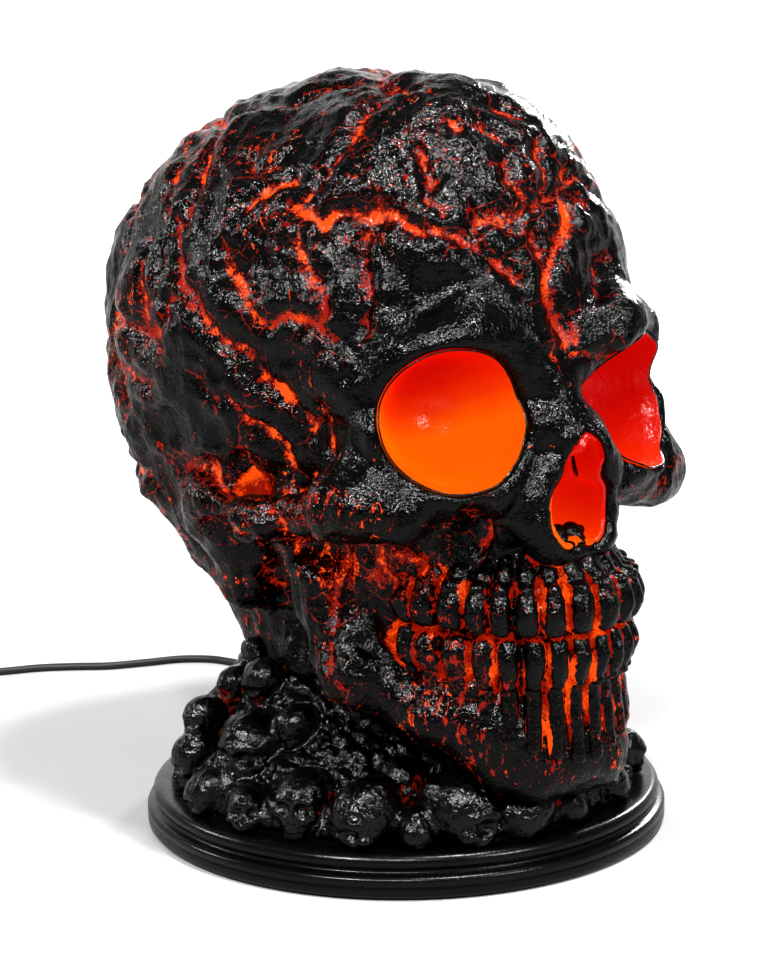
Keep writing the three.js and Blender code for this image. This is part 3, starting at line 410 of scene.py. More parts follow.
def formMesh(form, low, high, step, whole=True):
    step *= 1
    field, start = sampleField(form, low, high, step)
    net = surfaceNet(field, start, step)
    return mainShell(*net) if whole else net


def meshNormals(places, faces):
    across = places[faces[:, 2]] - places[faces[:, 0]]
    along = places[faces[:, 3]] - places[faces[:, 1]]
    normal = np.cross(across, along)
    total = np.zeros_like(places)
    for i in range(4):
        np.add.at(total, faces[:, i], normal)
    return total / np.maximum(np.linalg.norm(total, axis=1, keepdims=True), 1e-12)


def addMesh(name, places, faces, material, masks=None):
    mesh = bpy.data.meshes.new(name)
    mesh.from_pydata(np.asarray(places, float).tolist(), [], [list(map(int, f)) for f in faces])
    mesh.update()
    for key, values in (masks or {}).items():
        layer = mesh.attributes.new(key, "FLOAT", "POINT")
        layer.data.foreach_set("value", np.asarray(values, np.float32))
    mesh.shade_smooth()
    mesh.materials.append(material)
    return link(bpy.data.objects.new(name, mesh))


# Skull: the strokes of its solid, and after them rims that only this file has
craniumRows = [
    (egg, "", 0.2, {"at": (0, 0.17, 1.935), "size": (0.87, 1.04, 0.895)}),
    (egg, "pair", 0.2, {"at": (0.3, 0.4, 1.87), "size": (0.57, 0.78, 0.73)}),
    (egg, "", 0.25, {"at": (0, 0.57, 1.46), "size": (0.73, 0.67, 0.62)}),
    (egg, "", 0.2, {"at": (0, -0.3, 1.98), "size": (0.62, 0.45, 0.77)}),
    (egg, "", 0.25, {"at": (0, 0.34, 1.06), "size": (0.57, 0.52, 0.42)}),
    (egg, "", 0.15, {"at": (0, -0.38, 1.3), "size": (0.56, 0.44, 0.6)}),
    (bone, "", 0.2, {"start": (0, 0.26, 1.1), "end": (0, 0.12, 0.6), "thick": (0.46, 0.5)}),
]
faceRows = [
    (egg, "pair hollow", 0.14, {"at": (1.06, -0.5, 1.66), "size": (0.34, 0.38, 0.46), "turn": 16}),
    (bone, "pair", 0.12, {"start": (0.64, 0.22, 1.22), "end": (0.58, 0.16, 0.98), "thick": (0.16, 0.1)}),
    (bone, "pair", 0.16, {"start": (0.1, -0.86, 1.86), "end": (0.34, -0.83, 1.93), "thick": (0.085, 0.08)}),
    (bone, "pair", 0.14, {"start": (0.34, -0.83, 1.93), "end": (0.53, -0.7, 1.85), "thick": (0.08, 0.065)}),
    (bone, "pair", 0.1, {"start": (0.53, -0.7, 1.85), "end": (0.65, -0.61, 1.55), "thick": (0.065, 0.06)}),
    (egg, "pair", 0.12, {"at": (0.6, -0.66, 1.38), "size": (0.2, 0.16, 0.14), "turn": 30}),
    (bone, "pair", 0.1, {"start": (0.68, -0.56, 1.36), "end": (0.8, -0.2, 1.26), "thick": (0.09, 0.065)}),
    (bone, "pair", 0.08, {"start": (0.8, -0.2, 1.26), "end": (0.76, 0.14, 1.3), "thick": (0.065, 0.09)}),
    (bone, "pair", 0.08, {"start": (0.56, -0.76, 1.34), "end": (0.2, -0.9, 1.44), "thick": (0.085, 0.07)}),
    (bone, "", 0.08, {"start": (0, -0.81, 1.79), "end": (0, -1.07, 1.55), "thick": (0.095, 0.055)}),
    (bone, "pair", 0.08, {"start": (0.08, -0.95, 1.6), "end": (0.19, -0.87, 1.28), "thick": (0.06, 0.06)}),
    (plate, "", 0.1, {"at": (0, -0.6), "size": (0.34, 0.4), "low": 0.98, "high": 1.24, "edge": 0.1}),
    (plate, "", 0.04, {"at": (0, -0.6), "size": (0.37, 0.43), "low": 0.48, "high": 0.86, "edge": 0.1}),
    (plate, "", 0.02, {"at": (0, -0.61), "size": (0.35, 0.41), "low": 0.78, "high": 1.06, "edge": 0.03}),
    (egg, "", 0.12, {"at": (0, -0.91, 0.45), "size": (0.28, 0.17, 0.16)}),
    (bone, "pair", 0.12, {"start": (0.26, -0.79, 0.56), "end": (0.48, -0.4, 0.73), "thick": (0.12, 0.12)}),
    (bone, "pair", 0.12, {"start": (0.5, -0.38, 0.74), "end": (0.56, -0.2, 1.22), "thick": (0.14, 0.13)}),
]
# ridges and hollows over those
carvingRows = [
    (bone, "pair", 0.1, {"start": (0.63, -0.56, 1.78), "end": (0.64, -0.42, 2.12), "thick": (0.05, 0.02)}),
    (egg, "pair hollow", 0.06, {"at": (0.62, -0.42, 1.16), "size": (0.1, 0.16, 0.09)}),
    (egg, "pair hollow", 0.05, {"at": (0.46, -0.78, 1.2), "size": (0.09, 0.08, 0.07), "turn": 30}),
    (egg, "pair hollow", 0.06, {"at": (0.78, 0.02, 1.2), "size": (0.07, 0.07, 0.07)}),
    (bone, "pair", 0.06, {"start": (0.62, 0.45, 1.32), "end": (0.3, 0.92, 1.42), "thick": (0.04, 0.04)}),
    (bone, "", 0.06, {"start": (0.3, 1.0, 1.5), "end": (-0.3, 1.0, 1.5), "thick": (0.05, 0.05)}),
]
# long waves over the whole casting: how they run, where they start, how high they are
reliefWaves = [
    ((17.2, 9.4, 6.1), 0.4, 0.006), ((-8.3, 14.9, 11.2), 2.1, 0.006), ((4.6, -12.8, 17.7), 4.4, 0.006),
    ((12.4, 3.2, -19.6), 1.3, 0.005), ((-21.5, 6.8, 8.9), 3.2, 0.004), ((6.3, 22.1, -4.7), 5.6, 0.004),
]
eyeFacts = {"at": (0.425, -0.92, 1.665), "size": (0.265, 0.42, 0.242), "turn": 20}
noseFacts = [
    {"at": (0.048, -1.0, 1.325), "size": (0.086, 0.3, 0.12)},
    {"at": (-0.048, -1.0, 1.325), "size": (0.086, 0.3, 0.12)},
    {"at": (0, -1.0, 1.43), "size": (0.068, 0.3, 0.18)},
]
rimRows = [
    # the lower edge of an eye socket, then the side of the nose, as points of one half
    {"points": [(0.14, -0.85, 1.64), (0.2, -0.9, 1.51), (0.32, -0.94, 1.43), (0.45, -0.87, 1.43),
                (0.56, -0.74, 1.5), (0.61, -0.7, 1.62)], "thick": 0.045, "blend": 0.07},
    {"points": [(0.05, -1.03, 1.56), (0.1, -1.0, 1.47), (0.14, -0.98, 1.39), (0.145, -0.97, 1.3),
                (0.1, -0.99, 1.22), (0.0, -1.01, 1.2)], "thick": 0.032, "blend": 0.08},
]
skullFacts = {
    "socketEdge": 0.014, "noseEdge": 0.012, "gap": 0.003, "noseBlend": 0.03,
    "neckFloor": 0.62, "neckMiddle": 0.12, "neckReach": 0.62, "neckEdge": 0.01,
    "temple": (0.53, -0.6, 2.15), "templeReach": 0.2,
}


def noseGap(p, growth=0.0):
    rows = [egg(p, **row) for row in noseFacts]
    return soften(np.minimum(rows[0], rows[1]), rows[2], skullFacts["noseBlend"]) - growth


def eyeGap(p, growth=0.0):
    return egg(mirrorX(p), **eyeFacts) - growth


def relief(p):
    return sum(height * np.sin(p @ np.array(way) + start) for way, start, height in reliefWaves)


def plainSkull(p):
    distance = strokes(p, carvingRows, strokes(p, faceRows, strokes(p, craniumRows)))
    mirrored = mirrorX(p)
    for row in rimRows:
        for start, end in zip(row["points"], row["points"][1:]):
            distance = soften(distance, bone(mirrored, start, end, (row["thick"],) * 2), row["blend"])
    return distance - relief(p)


def skinForm(p):
    distance = carve(plainSkull(p), eyeGap(p, skullFacts["gap"]), skullFacts["socketEdge"])
    distance = carve(distance, noseGap(p, skullFacts["gap"]), skullFacts["noseEdge"])
    side = np.hypot(p[:, 0], p[:, 1] - skullFacts["neckMiddle"]) - skullFacts["neckReach"]
    neck = np.maximum(side, p[:, 2] - skullFacts["neckFloor"])
    return carve(distance, neck, skullFacts["neckEdge"])


rayCaution = 0.7   # part of a form's distance that a ray goes on, since softened forms overstate it


def castOn(form, pixels, start=4.5, reach=11.0, steps=90):
    # where the photograph's rays meet a form, in shares, and which of them do
    ways = photoRays(pixels)
    origin = cameraPlace / share
    far = np.full(len(ways), start)
    for _ in range(steps):
        gap = form(origin + far[:, None] * ways)
        far += np.clip(gap, -0.1, 0.4) * rayCaution
    places = origin + far[:, None] * ways
    hit = (np.abs(form(places)) < 0.02) & (far < reach)
    return places, hit


# Teeth: two rows of crowns along an oval, each with its root under the gum
toothRows = {
    "upper": {"middle": -0.62, "across": 0.385, "along": 0.455, "height": 1.0, "tall": 0.078,
              "depth": 0.064, "root": (1.11, 1.24), "lean": 0.1, "inset": 0.03, "gum": 1.085,
              "widths": (0.1, 0.085, 0.085, 0.08, 0.08, 0.11, 0.11, 0.1)},
    "lower": {"middle": -0.61, "across": 0.375, "along": 0.44, "height": 0.835, "tall": 0.08,
              "depth": 0.06, "root": (0.72, 0.48), "lean": -0.03, "inset": 0.01, "gum": 0.745,
              "widths": (0.075, 0.075, 0.08, 0.08, 0.085, 0.11, 0.11, 0.1)},
}


# parts of a tooth, as shares of its half width, depth and height
crownFacts = {
    "arc": 0.6, "arcSteps": 900, "near": 0.22, "farthest": 0.3,
    "wide": 0.9, "edge": 0.72, "bulge": 0.014, "belly": (0.93, 1.1, 0.86),
    "shorter": 0.1, "root": (0.88, 0.75), "knob": (0.8, 0.95, 0.55),
    "bellyBlend": 0.02, "rootBlend": 0.012,
}


def toothPlaces(row):
    angles = np.linspace(0, math.pi * crownFacts["arc"], crownFacts["arcSteps"])
    x, y = row["across"] * np.sin(angles), row["middle"] - row["along"] * np.cos(angles)
    run = np.concatenate([[0], np.cumsum(np.hypot(np.diff(x), np.diff(y)))])
    reached = 0
    for width in row["widths"]:
        k = int(np.searchsorted(run, reached + width / 2))
        angle = angles[k]
        facing = math.degrees(math.atan2(
            row["along"] * math.sin(angle), row["across"] * math.cos(angle)))
        reached += width
        yield x[k], y[k], facing, width


def toothForm(q, row, order, x, y, facing, width):
    facts = crownFacts
    c, s = cosSin(facing)
    out = np.array([s, -c])
    half = width / 2
    depth, tall = row["depth"], row["tall"]
    crown = block(q, (x, y, row["height"]), (half * facts["wide"], depth, tall), half * facts["edge"],
                  turn=facing)
    wide, deep, high = facts["belly"]
    belly = egg(q, (x + facts["bulge"] * out[0], y + facts["bulge"] * out[1], row["height"]),
                (half * wide, depth * deep, tall * high), turn=facing)
    low, high = row["root"]
    high = low + (high - low) * (1 - facts["shorter"] * order)
    inset, lean = row["inset"], row["inset"] + row["lean"]
    root = bone(q, (x - inset * out[0], y - inset * out[1], low),
                (x - lean * out[0], y - lean * out[1], high), [half * part for part in facts["root"]])
    wide, deep, high = facts["knob"]
    knob = egg(q, (x, y, row["gum"]), (half * wide, depth * deep, half * high), turn=facing)
    tooth = soften(soften(crown, belly, facts["bellyBlend"]), root, facts["rootBlend"])
    return soften(tooth, knob, facts["rootBlend"])


def teethForm(p):
    mirrored = mirrorX(p)
    distance = np.full(len(p), crownFacts["farthest"])
    for row in toothRows.values():
        for order, (x, y, facing, width) in enumerate(toothPlaces(row)):
            near = np.hypot(mirrored[:, 0] - x, mirrored[:, 1] - y) < crownFacts["near"]
            if near.any():
                tooth = toothForm(mirrored[near], row, order, x, y, facing, width)
                distance[near] = np.minimum(distance[near], tooth)
    return distance


# Cracks: lines followed in the photograph's frame, each with its half width in millimetres
crackLines = [
    (1.2, [(174, 216), (176, 252), (183, 281), (195, 303), (208, 321), (225, 338), (242, 351),
           (254, 364), (265, 379), (280, 392), (291, 406)]),
    (1.0, [(164, 321), (168, 298), (183, 300), (193, 305)]),
    (1.2, [(227, 244), (231, 267), (239, 286), (250, 303), (258, 321), (269, 326), (290, 315),
           (311, 324), (326, 338), (334, 343)]),
    (1.3, [(309, 324), (319, 313), (317, 292), (311, 271), (300, 252), (292, 244)]),
    (0.9, [(246, 208), (258, 195), (279, 185), (294, 178)]),
    (0.7, [(246, 176), (248, 159)]),
    (0.7, [(256, 168), (281, 161)]),
    (1.0, [(391, 92), (370, 107), (355, 130), (343, 151), (330, 168), (315, 187), (300, 197)]),
    (1.7, [(290, 206), (309, 212), (324, 225), (334, 216), (351, 214), (366, 218), (378, 218),
           (393, 217), (412, 227), (433, 231), (449, 235), (464, 237), (473, 246), (483, 250),
           (494, 254), (506, 265), (517, 277)]),
    (1.2, [(470, 227), (483, 218), (502, 212), (510, 223), (517, 227)]),
    (0.8, [(378, 206), (378, 220)]),
    (1.0, [(537, 140), (538, 157), (546, 174), (542, 187), (538, 210)]),
    (1.7, [(563, 195), (569, 214), (565, 233), (561, 252), (550, 267), (550, 281), (553, 298),
           (557, 315), (565, 338)]),
    (1.2, [(536, 239), (544, 250), (548, 265)]),
    (1.0, [(576, 317), (574, 330), (578, 340)]),
    (1.0, [(563, 195), (582, 197), (590, 208)]),
    (1.0, [(567, 168), (569, 195)]),
    (0.9, [(607, 252), (597, 273), (599, 296)]),
    (0.8, [(498, 109), (519, 117)]),
    (0.7, [(443, 119), (456, 122)]),
    (0.8, [(477, 127), (494, 132), (504, 140)]),
    (1.0, [(506, 164), (510, 180), (525, 193), (532, 206)]),
    (1.0, [(112, 363), (135, 377), (150, 384)]),
    (1.1, [(222, 395), (235, 410), (244, 424), (260, 430), (275, 439), (284, 451), (289, 468)]),
    (0.8, [(244, 451), (255, 464), (266, 475)]),
    (0.8, [(199, 381), (213, 397)]),
    (1.0, [(182, 464), (197, 466), (215, 473), (226, 484), (233, 495)]),
    (0.8, [(307, 417), (315, 426), (313, 437)]),
    (0.8, [(320, 406), (327, 430), (329, 451)]),
    (1.1, [(264, 509), (284, 529), (298, 549)]),
    (1.6, [(215, 522), (232, 530), (246, 540)]),
    (0.9, [(269, 573), (282, 587)]),
    (0.9, [(333, 609), (330, 634), (327, 660)]),
    (1.4, [(376, 556), (384, 574), (400, 592), (420, 600), (432, 586)]),
    (1.1, [(396, 560), (418, 566), (440, 580)]),
    (1.0, [(402, 636), (424, 656), (440, 664), (462, 668)]),
    (0.9, [(476, 514), (486, 530), (482, 548)]),
    (0.8, [(146, 250), (140, 290), (146, 330), (158, 352)]),
    (0.8, [(196, 152), (176, 176), (168, 206)]),
    (0.7, [(420, 150), (436, 168), (430, 196), (446, 214)]),
    (0.8, [(368, 236), (360, 268), (372, 300), (366, 330)]),
    (0.7, [(300, 104), (322, 92), (352, 84)]),
]
crackSeeds = {
    "lines": 46, "seed": 418, "apart": 0.3, "behind": 0.12, "upward": 0.9, "sink": 0.35,
    "crowd": 30, "forget": 0.02, "fewest": 5, "steps": 11, "stride": 0.085, "turn": 0.55,
    "widths": (0.6, 1.5), "forks": 0.6, "forkSteps": (2, 5), "forkSway": 0.4, "forkStride": 0.8,
    "forkWidths": (0.5, 1.0),
}
# how the lines sway, how far their field reaches, and how the veil round them fades, in shares
crackFacts = {"sway": 0.02, "swaySize": 0.1, "swaySeeds": (31, 32, 33), "farthest": 0.2, "reach": 0.22,
              "veil": 0.12, "longest": 0.5}


def skullOut(ways):
    # the plain skull's surface seen from its middle along each way, in shares
    middle = np.array([0, -0.1, 1.5])
    far = np.full(len(ways), 1.9)
    for _ in range(60):
        far -= np.clip(plainSkull(middle + far[:, None] * ways), -0.05, 0.3) * rayCaution
    return middle + far[:, None] * ways


def shownToCamera(places):
    # 1 where the skull faces the camera, and below zero where it faces away
    step = 0.02
    normal = np.stack([
        plainSkull(places + step * axis) - plainSkull(places - step * axis) for axis in np.eye(3)
    ], 1)
    normal /= np.maximum(np.linalg.norm(normal, axis=1, keepdims=True), 1e-9)
    toCamera = cameraPlace / share - places
    toCamera /= np.linalg.norm(toCamera, axis=1, keepdims=True)
    return (normal * toCamera).sum(1)


def wanderingLines(seeds):
    # cracks for the sides that the photograph doesn't show
    rng = np.random.default_rng(seeds["seed"])
    starts, lines = [], []
    while len(lines) < seeds["lines"]:
        way = rng.normal(size=3)
        way[2] = abs(way[2]) * seeds["upward"] - seeds["sink"]
        way /= np.linalg.norm(way)
        start = skullOut(way[None])
        hidden = shownToCamera(start)[0] < seeds["behind"]
        if not hidden or any(np.linalg.norm(start[0] - s) < seeds["apart"] for s in starts):
            if len(starts) > seeds["crowd"] and rng.random() < seeds["forget"]:
                starts.pop(0)
            continue
        starts.append(start[0])
        heading = np.cross(way, rng.normal(size=3))
        heading /= np.linalg.norm(heading)
        ways = [way]
        for _ in range(rng.integers(seeds["fewest"], seeds["steps"])):
            side = np.cross(ways[-1], heading)
            heading = heading + side * rng.normal() * seeds["turn"]
            nextWay = ways[-1] + heading / np.linalg.norm(heading) * seeds["stride"]
            ways.append(nextWay / np.linalg.norm(nextWay))
            heading -= ways[-1] * (heading @ ways[-1])
        lines.append((rng.uniform(*seeds["widths"]), skullOut(np.array(ways))))
        if rng.random() < seeds["forks"]:
            fork = rng.integers(1, len(ways) - 1)
            side = np.cross(ways[fork], heading) * rng.choice([-1, 1])
            branch = [ways[fork]]
            for _ in range(rng.integers(*seeds["forkSteps"])):
                sway = side + seeds["forkSway"] * rng.normal(size=3)
                nextWay = branch[-1] + sway * seeds["stride"] * seeds["forkStride"]
                branch.append(nextWay / np.linalg.norm(nextWay))
            lines.append((rng.uniform(*seeds["forkWidths"]), skullOut(np.array(branch))))
    return lines


def crackSegments():
    segments = []
    for width, pixels in crackLines:
        places, hit = castOn(plainSkull, pixels)
        for a, b, good in zip(places[:-1], places[1:], hit[:-1] & hit[1:]):
            if good and np.linalg.norm(b - a) < crackFacts["longest"]:
                segments.append((a, b, width * mmInShares))
    for width, places in wanderingLines(crackSeeds):
        segments += [(a, b, width * mmInShares) for a, b in zip(places[:-1], places[1:])]
    return segments


def crackField(places, segments):
    # nearest crack's edge in shares, below zero inside it, and a veil that fades away from it
    facts = crackFacts
    sway = [lumps(places, facts["swaySize"], seed, 2) for seed in facts["swaySeeds"]]
    warped = places + facts["sway"] * np.stack(sway, 1)
    gap = np.full(len(places), facts["farthest"])
    for a, b, width in segments:
        middle, half = (a + b) / 2, np.linalg.norm(b - a) / 2
        near = np.flatnonzero(((warped - middle) ** 2).sum(1) < (half + facts["reach"]) ** 2)
        if len(near):
            gap[near] = np.minimum(gap[near], bone(warped[near], a, b, (width, width)))
    veil = np.exp(-(np.maximum(gap, 0) / facts["veil"]) ** 2)
    return gap, veil


def dentOf(form, places, normals, reach=0.05):
    # how far a place lies in a hollow: 0 on an open face, 1 deep in a crease
    return np.clip(1 - form(places + reach * normals) / reach, 0, 1)


def skullUnion(p):
    return np.minimum(skinForm(p), teethForm(p))


# how often red shows through the paint: ramps as start and reach in shares, and what each adds
wearFacts = {
    "even": 0.42, "patches": 0.6, "patchSize": 0.28, "patchSeed": 71,
    "socketReach": 0.1, "socketCalm": 0.9, "templeCalm": 0.5, "templeVeil": 0.7,
    "faceFront": (-0.55, 0.2), "faceAbove": (1.4, 0.1), "faceCalm": 0.25, "foot": (0.4, 0.08),
    "cheekBelow": (1.5, 0.1), "cheekAside": (0.25, 0.1), "crownAbove": (2.15, 0.2), "crown": 0.7,
    "lively": 0.3, "chinBelow": (0.85, 0.1), "chinFront": (-0.6, 0.1), "chin": 0.35,
}


def skinMasks(places, normals, gap, veil):
    # zone says how often red shows: least round the sockets, at the temples, on the front of the face
    # above the teeth and at the foot, most on the cheeks, the crown and the chin
    facts = wearFacts
    aside, y, z = np.abs(places[:, 0]), places[:, 1], places[:, 2]
    socket = np.minimum(eyeGap(places), noseGap(places))
    front = falling(y, *facts["faceFront"]) * rising(z, *facts["faceAbove"])
    calm = np.clip(1 - socket / facts["socketReach"], 0, 1) * facts["socketCalm"]
    calm = calm + front * facts["faceCalm"] + falling(z, *facts["foot"])
    lively = falling(z, *facts["cheekBelow"]) * rising(aside, *facts["cheekAside"])
    lively = np.maximum(lively, rising(z, *facts["crownAbove"]) * facts["crown"])
    chin = falling(z, *facts["chinBelow"]) * falling(y, *facts["chinFront"])
    fromTemple = ((mirrorX(places) - skullFacts["temple"]) ** 2).sum(1)
    temple = np.exp(-fromTemple / skullFacts["templeReach"] ** 2)
    zone = facts["even"] + facts["patches"] * lumps(places, facts["patchSize"], facts["patchSeed"], 2)
    zone = zone + facts["lively"] * lively + facts["chin"] * chin - calm - facts["templeCalm"] * temple
    return {
        "crack": gap / mmInShares, "veil": veil * (1 - facts["templeVeil"] * temple),
        "zone": np.clip(zone, 0, 1), "dent": dentOf(skullUnion, places, normals),
    }


# relief of the skin: heights, widths and sizes in shares, and the ramps of its streaked sides
reliefFacts = {
    "socketFade": 0.03, "groove": 0.022, "grooveWidth": 0.035, "grooveSteep": 1.5,
    "lip": 0.008, "lipAt": 0.07, "lipWidth": 0.03, "lumps": 0.008, "lumpSize": 0.12,
    "bark": 0.009, "veilBark": 0.008, "barkSize": 0.085, "fineBark": 0.6, "fineBarkSize": 0.045,
    "raised": 0.01, "streaks": 0.022, "streakSize": 0.05, "streakSquash": (1, 1, 0.25),
    "sidesBelow": (1.75, 0.3), "sidesBehind": (-0.75, 0.1), "toothLumps": 0.004, "toothLumpSize": 0.06,
}


def skinShift(places, gap, veil):
    facts = reliefFacts
    socket = rising(np.minimum(eyeGap(places), noseGap(places)), 0, facts["socketFade"])
    inCrack = np.clip(1 - np.maximum(gap, 0) / facts["grooveWidth"], 0, 1)
    groove = -facts["groove"] * inCrack ** facts["grooveSteep"]
    lip = facts["lip"] * np.exp(-((gap - facts["lipAt"]) / facts["lipWidth"]) ** 2)
    fine = facts["fineBark"] * np.abs(lattice(places, facts["fineBarkSize"], 22))
    bark = np.abs(lattice(places, facts["barkSize"], 21)) + fine
    streaks = np.abs(lattice(places * np.array(facts["streakSquash"]), facts["streakSize"], 23))
    sides = falling(places[:, 2], *facts["sidesBelow"]) * rising(places[:, 1], *facts["sidesBehind"])
    rough = facts["lumps"] * lumps(places, facts["lumpSize"], 11, 2)
    rough = rough - (facts["bark"] + facts["veilBark"] * veil) * bark + facts["raised"]
    rough = rough - facts["streaks"] * sides * streaks
    return (groove + lip + rough) * socket


def toothShift(places, gap, veil):
    return reliefFacts["toothLumps"] * lumps(places, reliefFacts["toothLumpSize"], 41)


skinPieces = {
    "skullSkin": {"form": skinForm, "low": (-0.97, -1.2, 0.22), "high": (0.97, 1.32, 2.9),
                  "step": 0.0155, "whole": True, "shift": skinShift, "dent": 1.0},
    "skullTeeth": {"form": teethForm, "low": (-0.5, -1.18, 0.42), "high": (0.5, -0.3, 1.34),
                   "step": 0.0085, "whole": False, "shift": toothShift, "dent": 0.95},
}


def makeSkull(segments):
    for name, facts in skinPieces.items():
        places, faces = formMesh(facts["form"], facts["low"], facts["high"], facts["step"], facts["whole"])
        normals = meshNormals(places, faces)
        gap, veil = crackField(places, segments)
        masks = skinMasks(places, normals, gap, veil)
        masks["dent"] = masks["dent"] * facts["dent"]
        moved = places + facts["shift"](places, gap, veil)[:, None] * normals
        skin = addMesh(name, moved * share, faces, lavaSkin, masks)
        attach(skin, "lamp")
        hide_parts("skull_casting")


# Bowls: smooth shells behind the openings, glowing from red at the top to orange below
bowlFacts = {
    "wall": 0.018, "sunk": 0.003, "rings": 56, "sides": 180, "rimAngles": (0.6, 2.4), "rimSteps": 240,
    "pole": 0.02, "rimWall": 0.25, "rimTaper": 8,
    "redReach": 1.3, "redAcross": 0.95, "redTall": 1.15, "redder": {-1: 0.0, 1: 0.8},
}


def shellRings(facts, side, wall, sunk):
    # rings from the rim, which follows the skull's surface, to the pole inside, and back out outside
    size = np.array(facts["size"])
    around = np.linspace(0, 2 * math.pi, bowlFacts["sides"], endpoint=False)
    c, s = cosSin(side * facts["turn"])

    def ring(radii, angles):
        x = radii[0] * np.sin(angles) * np.cos(around)
        z = radii[2] * np.sin(angles) * np.sin(around)
        y = radii[1] * np.cos(angles)
        return np.stack([
            side * facts["at"][0] + x * c - y * s, facts["at"][1] + x * s + y * c, facts["at"][2] + z,
        ], 1)

    start = np.full(bowlFacts["sides"], bowlFacts["rimAngles"][0])
    for angle in np.linspace(*bowlFacts["rimAngles"], bowlFacts["rimSteps"]):
        start = np.where(plainSkull(ring(size, angle)) < -sunk, angle, start)
    for _ in range(3):
        start = (np.roll(start, 1) + start + np.roll(start, -1)) / 3
    rings = []
    for inside, order in ((True, 1), (False, -1)):
        for t in np.linspace(0, 1, bowlFacts["rings"])[::order]:
            full = bowlFacts["rimWall"] + (1 - bowlFacts["rimWall"]) * min(1, t * bowlFacts["rimTaper"])
            thin = wall * full if inside else 0
            rings.append(ring(size - thin, start * (1 - t) + bowlFacts["pole"] * t))
    return np.concatenate(rings), len(rings)


def ringFaces(count, sides):
    # faces between each ring and the next, and between the last and the first
    faces = []
    for ring in range(count):
        base, above = ring * sides, ((ring + 1) % count) * sides
        faces += [(base + i, base + (i + 1) % sides, above + (i + 1) % sides, above + i)
                  for i in range(sides)]
    return faces


def makeBowl(name, node, side):
    places, count = shellRings(eyeFacts, side, bowlFacts["wall"], bowlFacts["sunk"])
    sides = bowlFacts["sides"]
    faces = ringFaces(count, sides)
    half = count // 2
    faces = [f for f in faces if f[0] // sides != half - 1]
    faces.append(tuple(range((half - 1) * sides, half * sides))[::-1])
    faces.append(tuple(range(half * sides, (half + 1) * sides)))
    local = (places - np.array([side * eyeFacts["at"][0], *eyeFacts["at"][1:]])) / eyeFacts["size"]
    c, s = cosSin(side * eyeFacts["turn"])
    across = (local[:, 0] * c + local[:, 1] * s) * side
    # paint covers the rim; tall is 1 in the middle above, where the red is deepest
    ring = np.arange(len(places)) // sides
    paint = np.where((ring == 0) | (ring == count - 1), 1.0, 0.0)
    away = np.hypot(across / bowlFacts["redAcross"], (1 - local[:, 2]) / bowlFacts["redTall"])
    tall = np.clip(bowlFacts["redReach"] - away + bowlFacts["redder"][side], 0, 1)
    bowl = addMesh(name, places * share, faces, bowlGlow, {"tall": tall, "paint": paint})
    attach(bowl, "lamp")
    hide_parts(node)


noseBowlFacts = {
    "low": (-0.2, -1.1, 1.15), "high": (0.2, -0.6, 1.68), "step": 0.0065, "sunk": 0.01, "front": -0.92,
    "orangeAt": 1.2, "redTall": 0.5, "redAside": 2.5, "redder": 0.05,
    "paintTop": 1.185, "paintEdge": 0.008, "spikes": 0.06, "spikeTurns": 62, "spikeStart": 0.6,
    "spikeSharp": 3, "spikeFull": 1.2, "spikeReach": 0.12,
}


def noseShell(p):
    # cut off at the skin in front, and whole behind
    shell = np.maximum(noseGap(p), -noseGap(p, -bowlFacts["wall"]))
    cut = np.minimum(plainSkull(p) + noseBowlFacts["sunk"], noseBowlFacts["front"] - p[:, 1])
    return np.maximum(shell, cut)


def makeNoseBowl():
    facts = noseBowlFacts
    places, faces = formMesh(noseShell, facts["low"], facts["high"], facts["step"])
    x, z = places[:, 0], places[:, 2]
    tall = (z - facts["orangeAt"]) / facts["redTall"] + x * facts["redAside"] + facts["redder"]
    tall = np.clip(tall, 0, 1)
    # paint runs up from the lower edge in spikes, lower towards the sides
    wave = np.abs(np.sin(x * facts["spikeTurns"] + facts["spikeStart"]))
    spikes = facts["spikes"] * wave ** facts["spikeSharp"]
    spikes = spikes * np.clip(facts["spikeFull"] - np.abs(x) / facts["spikeReach"], 0, 1)
    paint = falling(z, facts["paintTop"] + spikes, facts["paintEdge"])
    bowl = addMesh("noseBowl", places * share, faces, bowlGlow, {"tall": tall, "paint": paint})
    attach(bowl, "lamp")
    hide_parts("nose_bowl")


# Mound: a heap with small skulls, some where the photograph shows them and rings of them behind
moundFacts = {
    "low": (-1.0, -1.02, 0.1), "high": (1.0, 1.02, 0.95), "step": 0.0125, "foot": 0.158, "room": 0.02,
    "roomEdge": 0.02, "collar": 0.62, "seat": 0.617, "seatReach": 0.48, "seatEdge": 0.01,
    "smallBlend": 0.02, "smallNear": 2.3, "smallSkin": 1.9, "smallFade": 0.03, "footFade": 0.03,
    "stones": 0.05, "stoneSize": 0.075, "grit": 0.022, "gritSize": 0.035, "sunk": 0.03,
    "smooth": 0.004, "smoothSize": 0.05, "between": 0.35,
}
heapRows = [
    (egg, "", 0.1, {"at": (0, 0.05, 0.14), "size": (0.84, 0.81, 0.4)}),
    (egg, "", 0.12, {"at": (0, 0.16, 0.36), "size": (0.62, 0.58, 0.42)}),
    (plate, "", 0.08, {"at": (0, 0), "size": (0.86, 0.86), "low": -0.1, "high": 0.26, "edge": 0.06}),
]
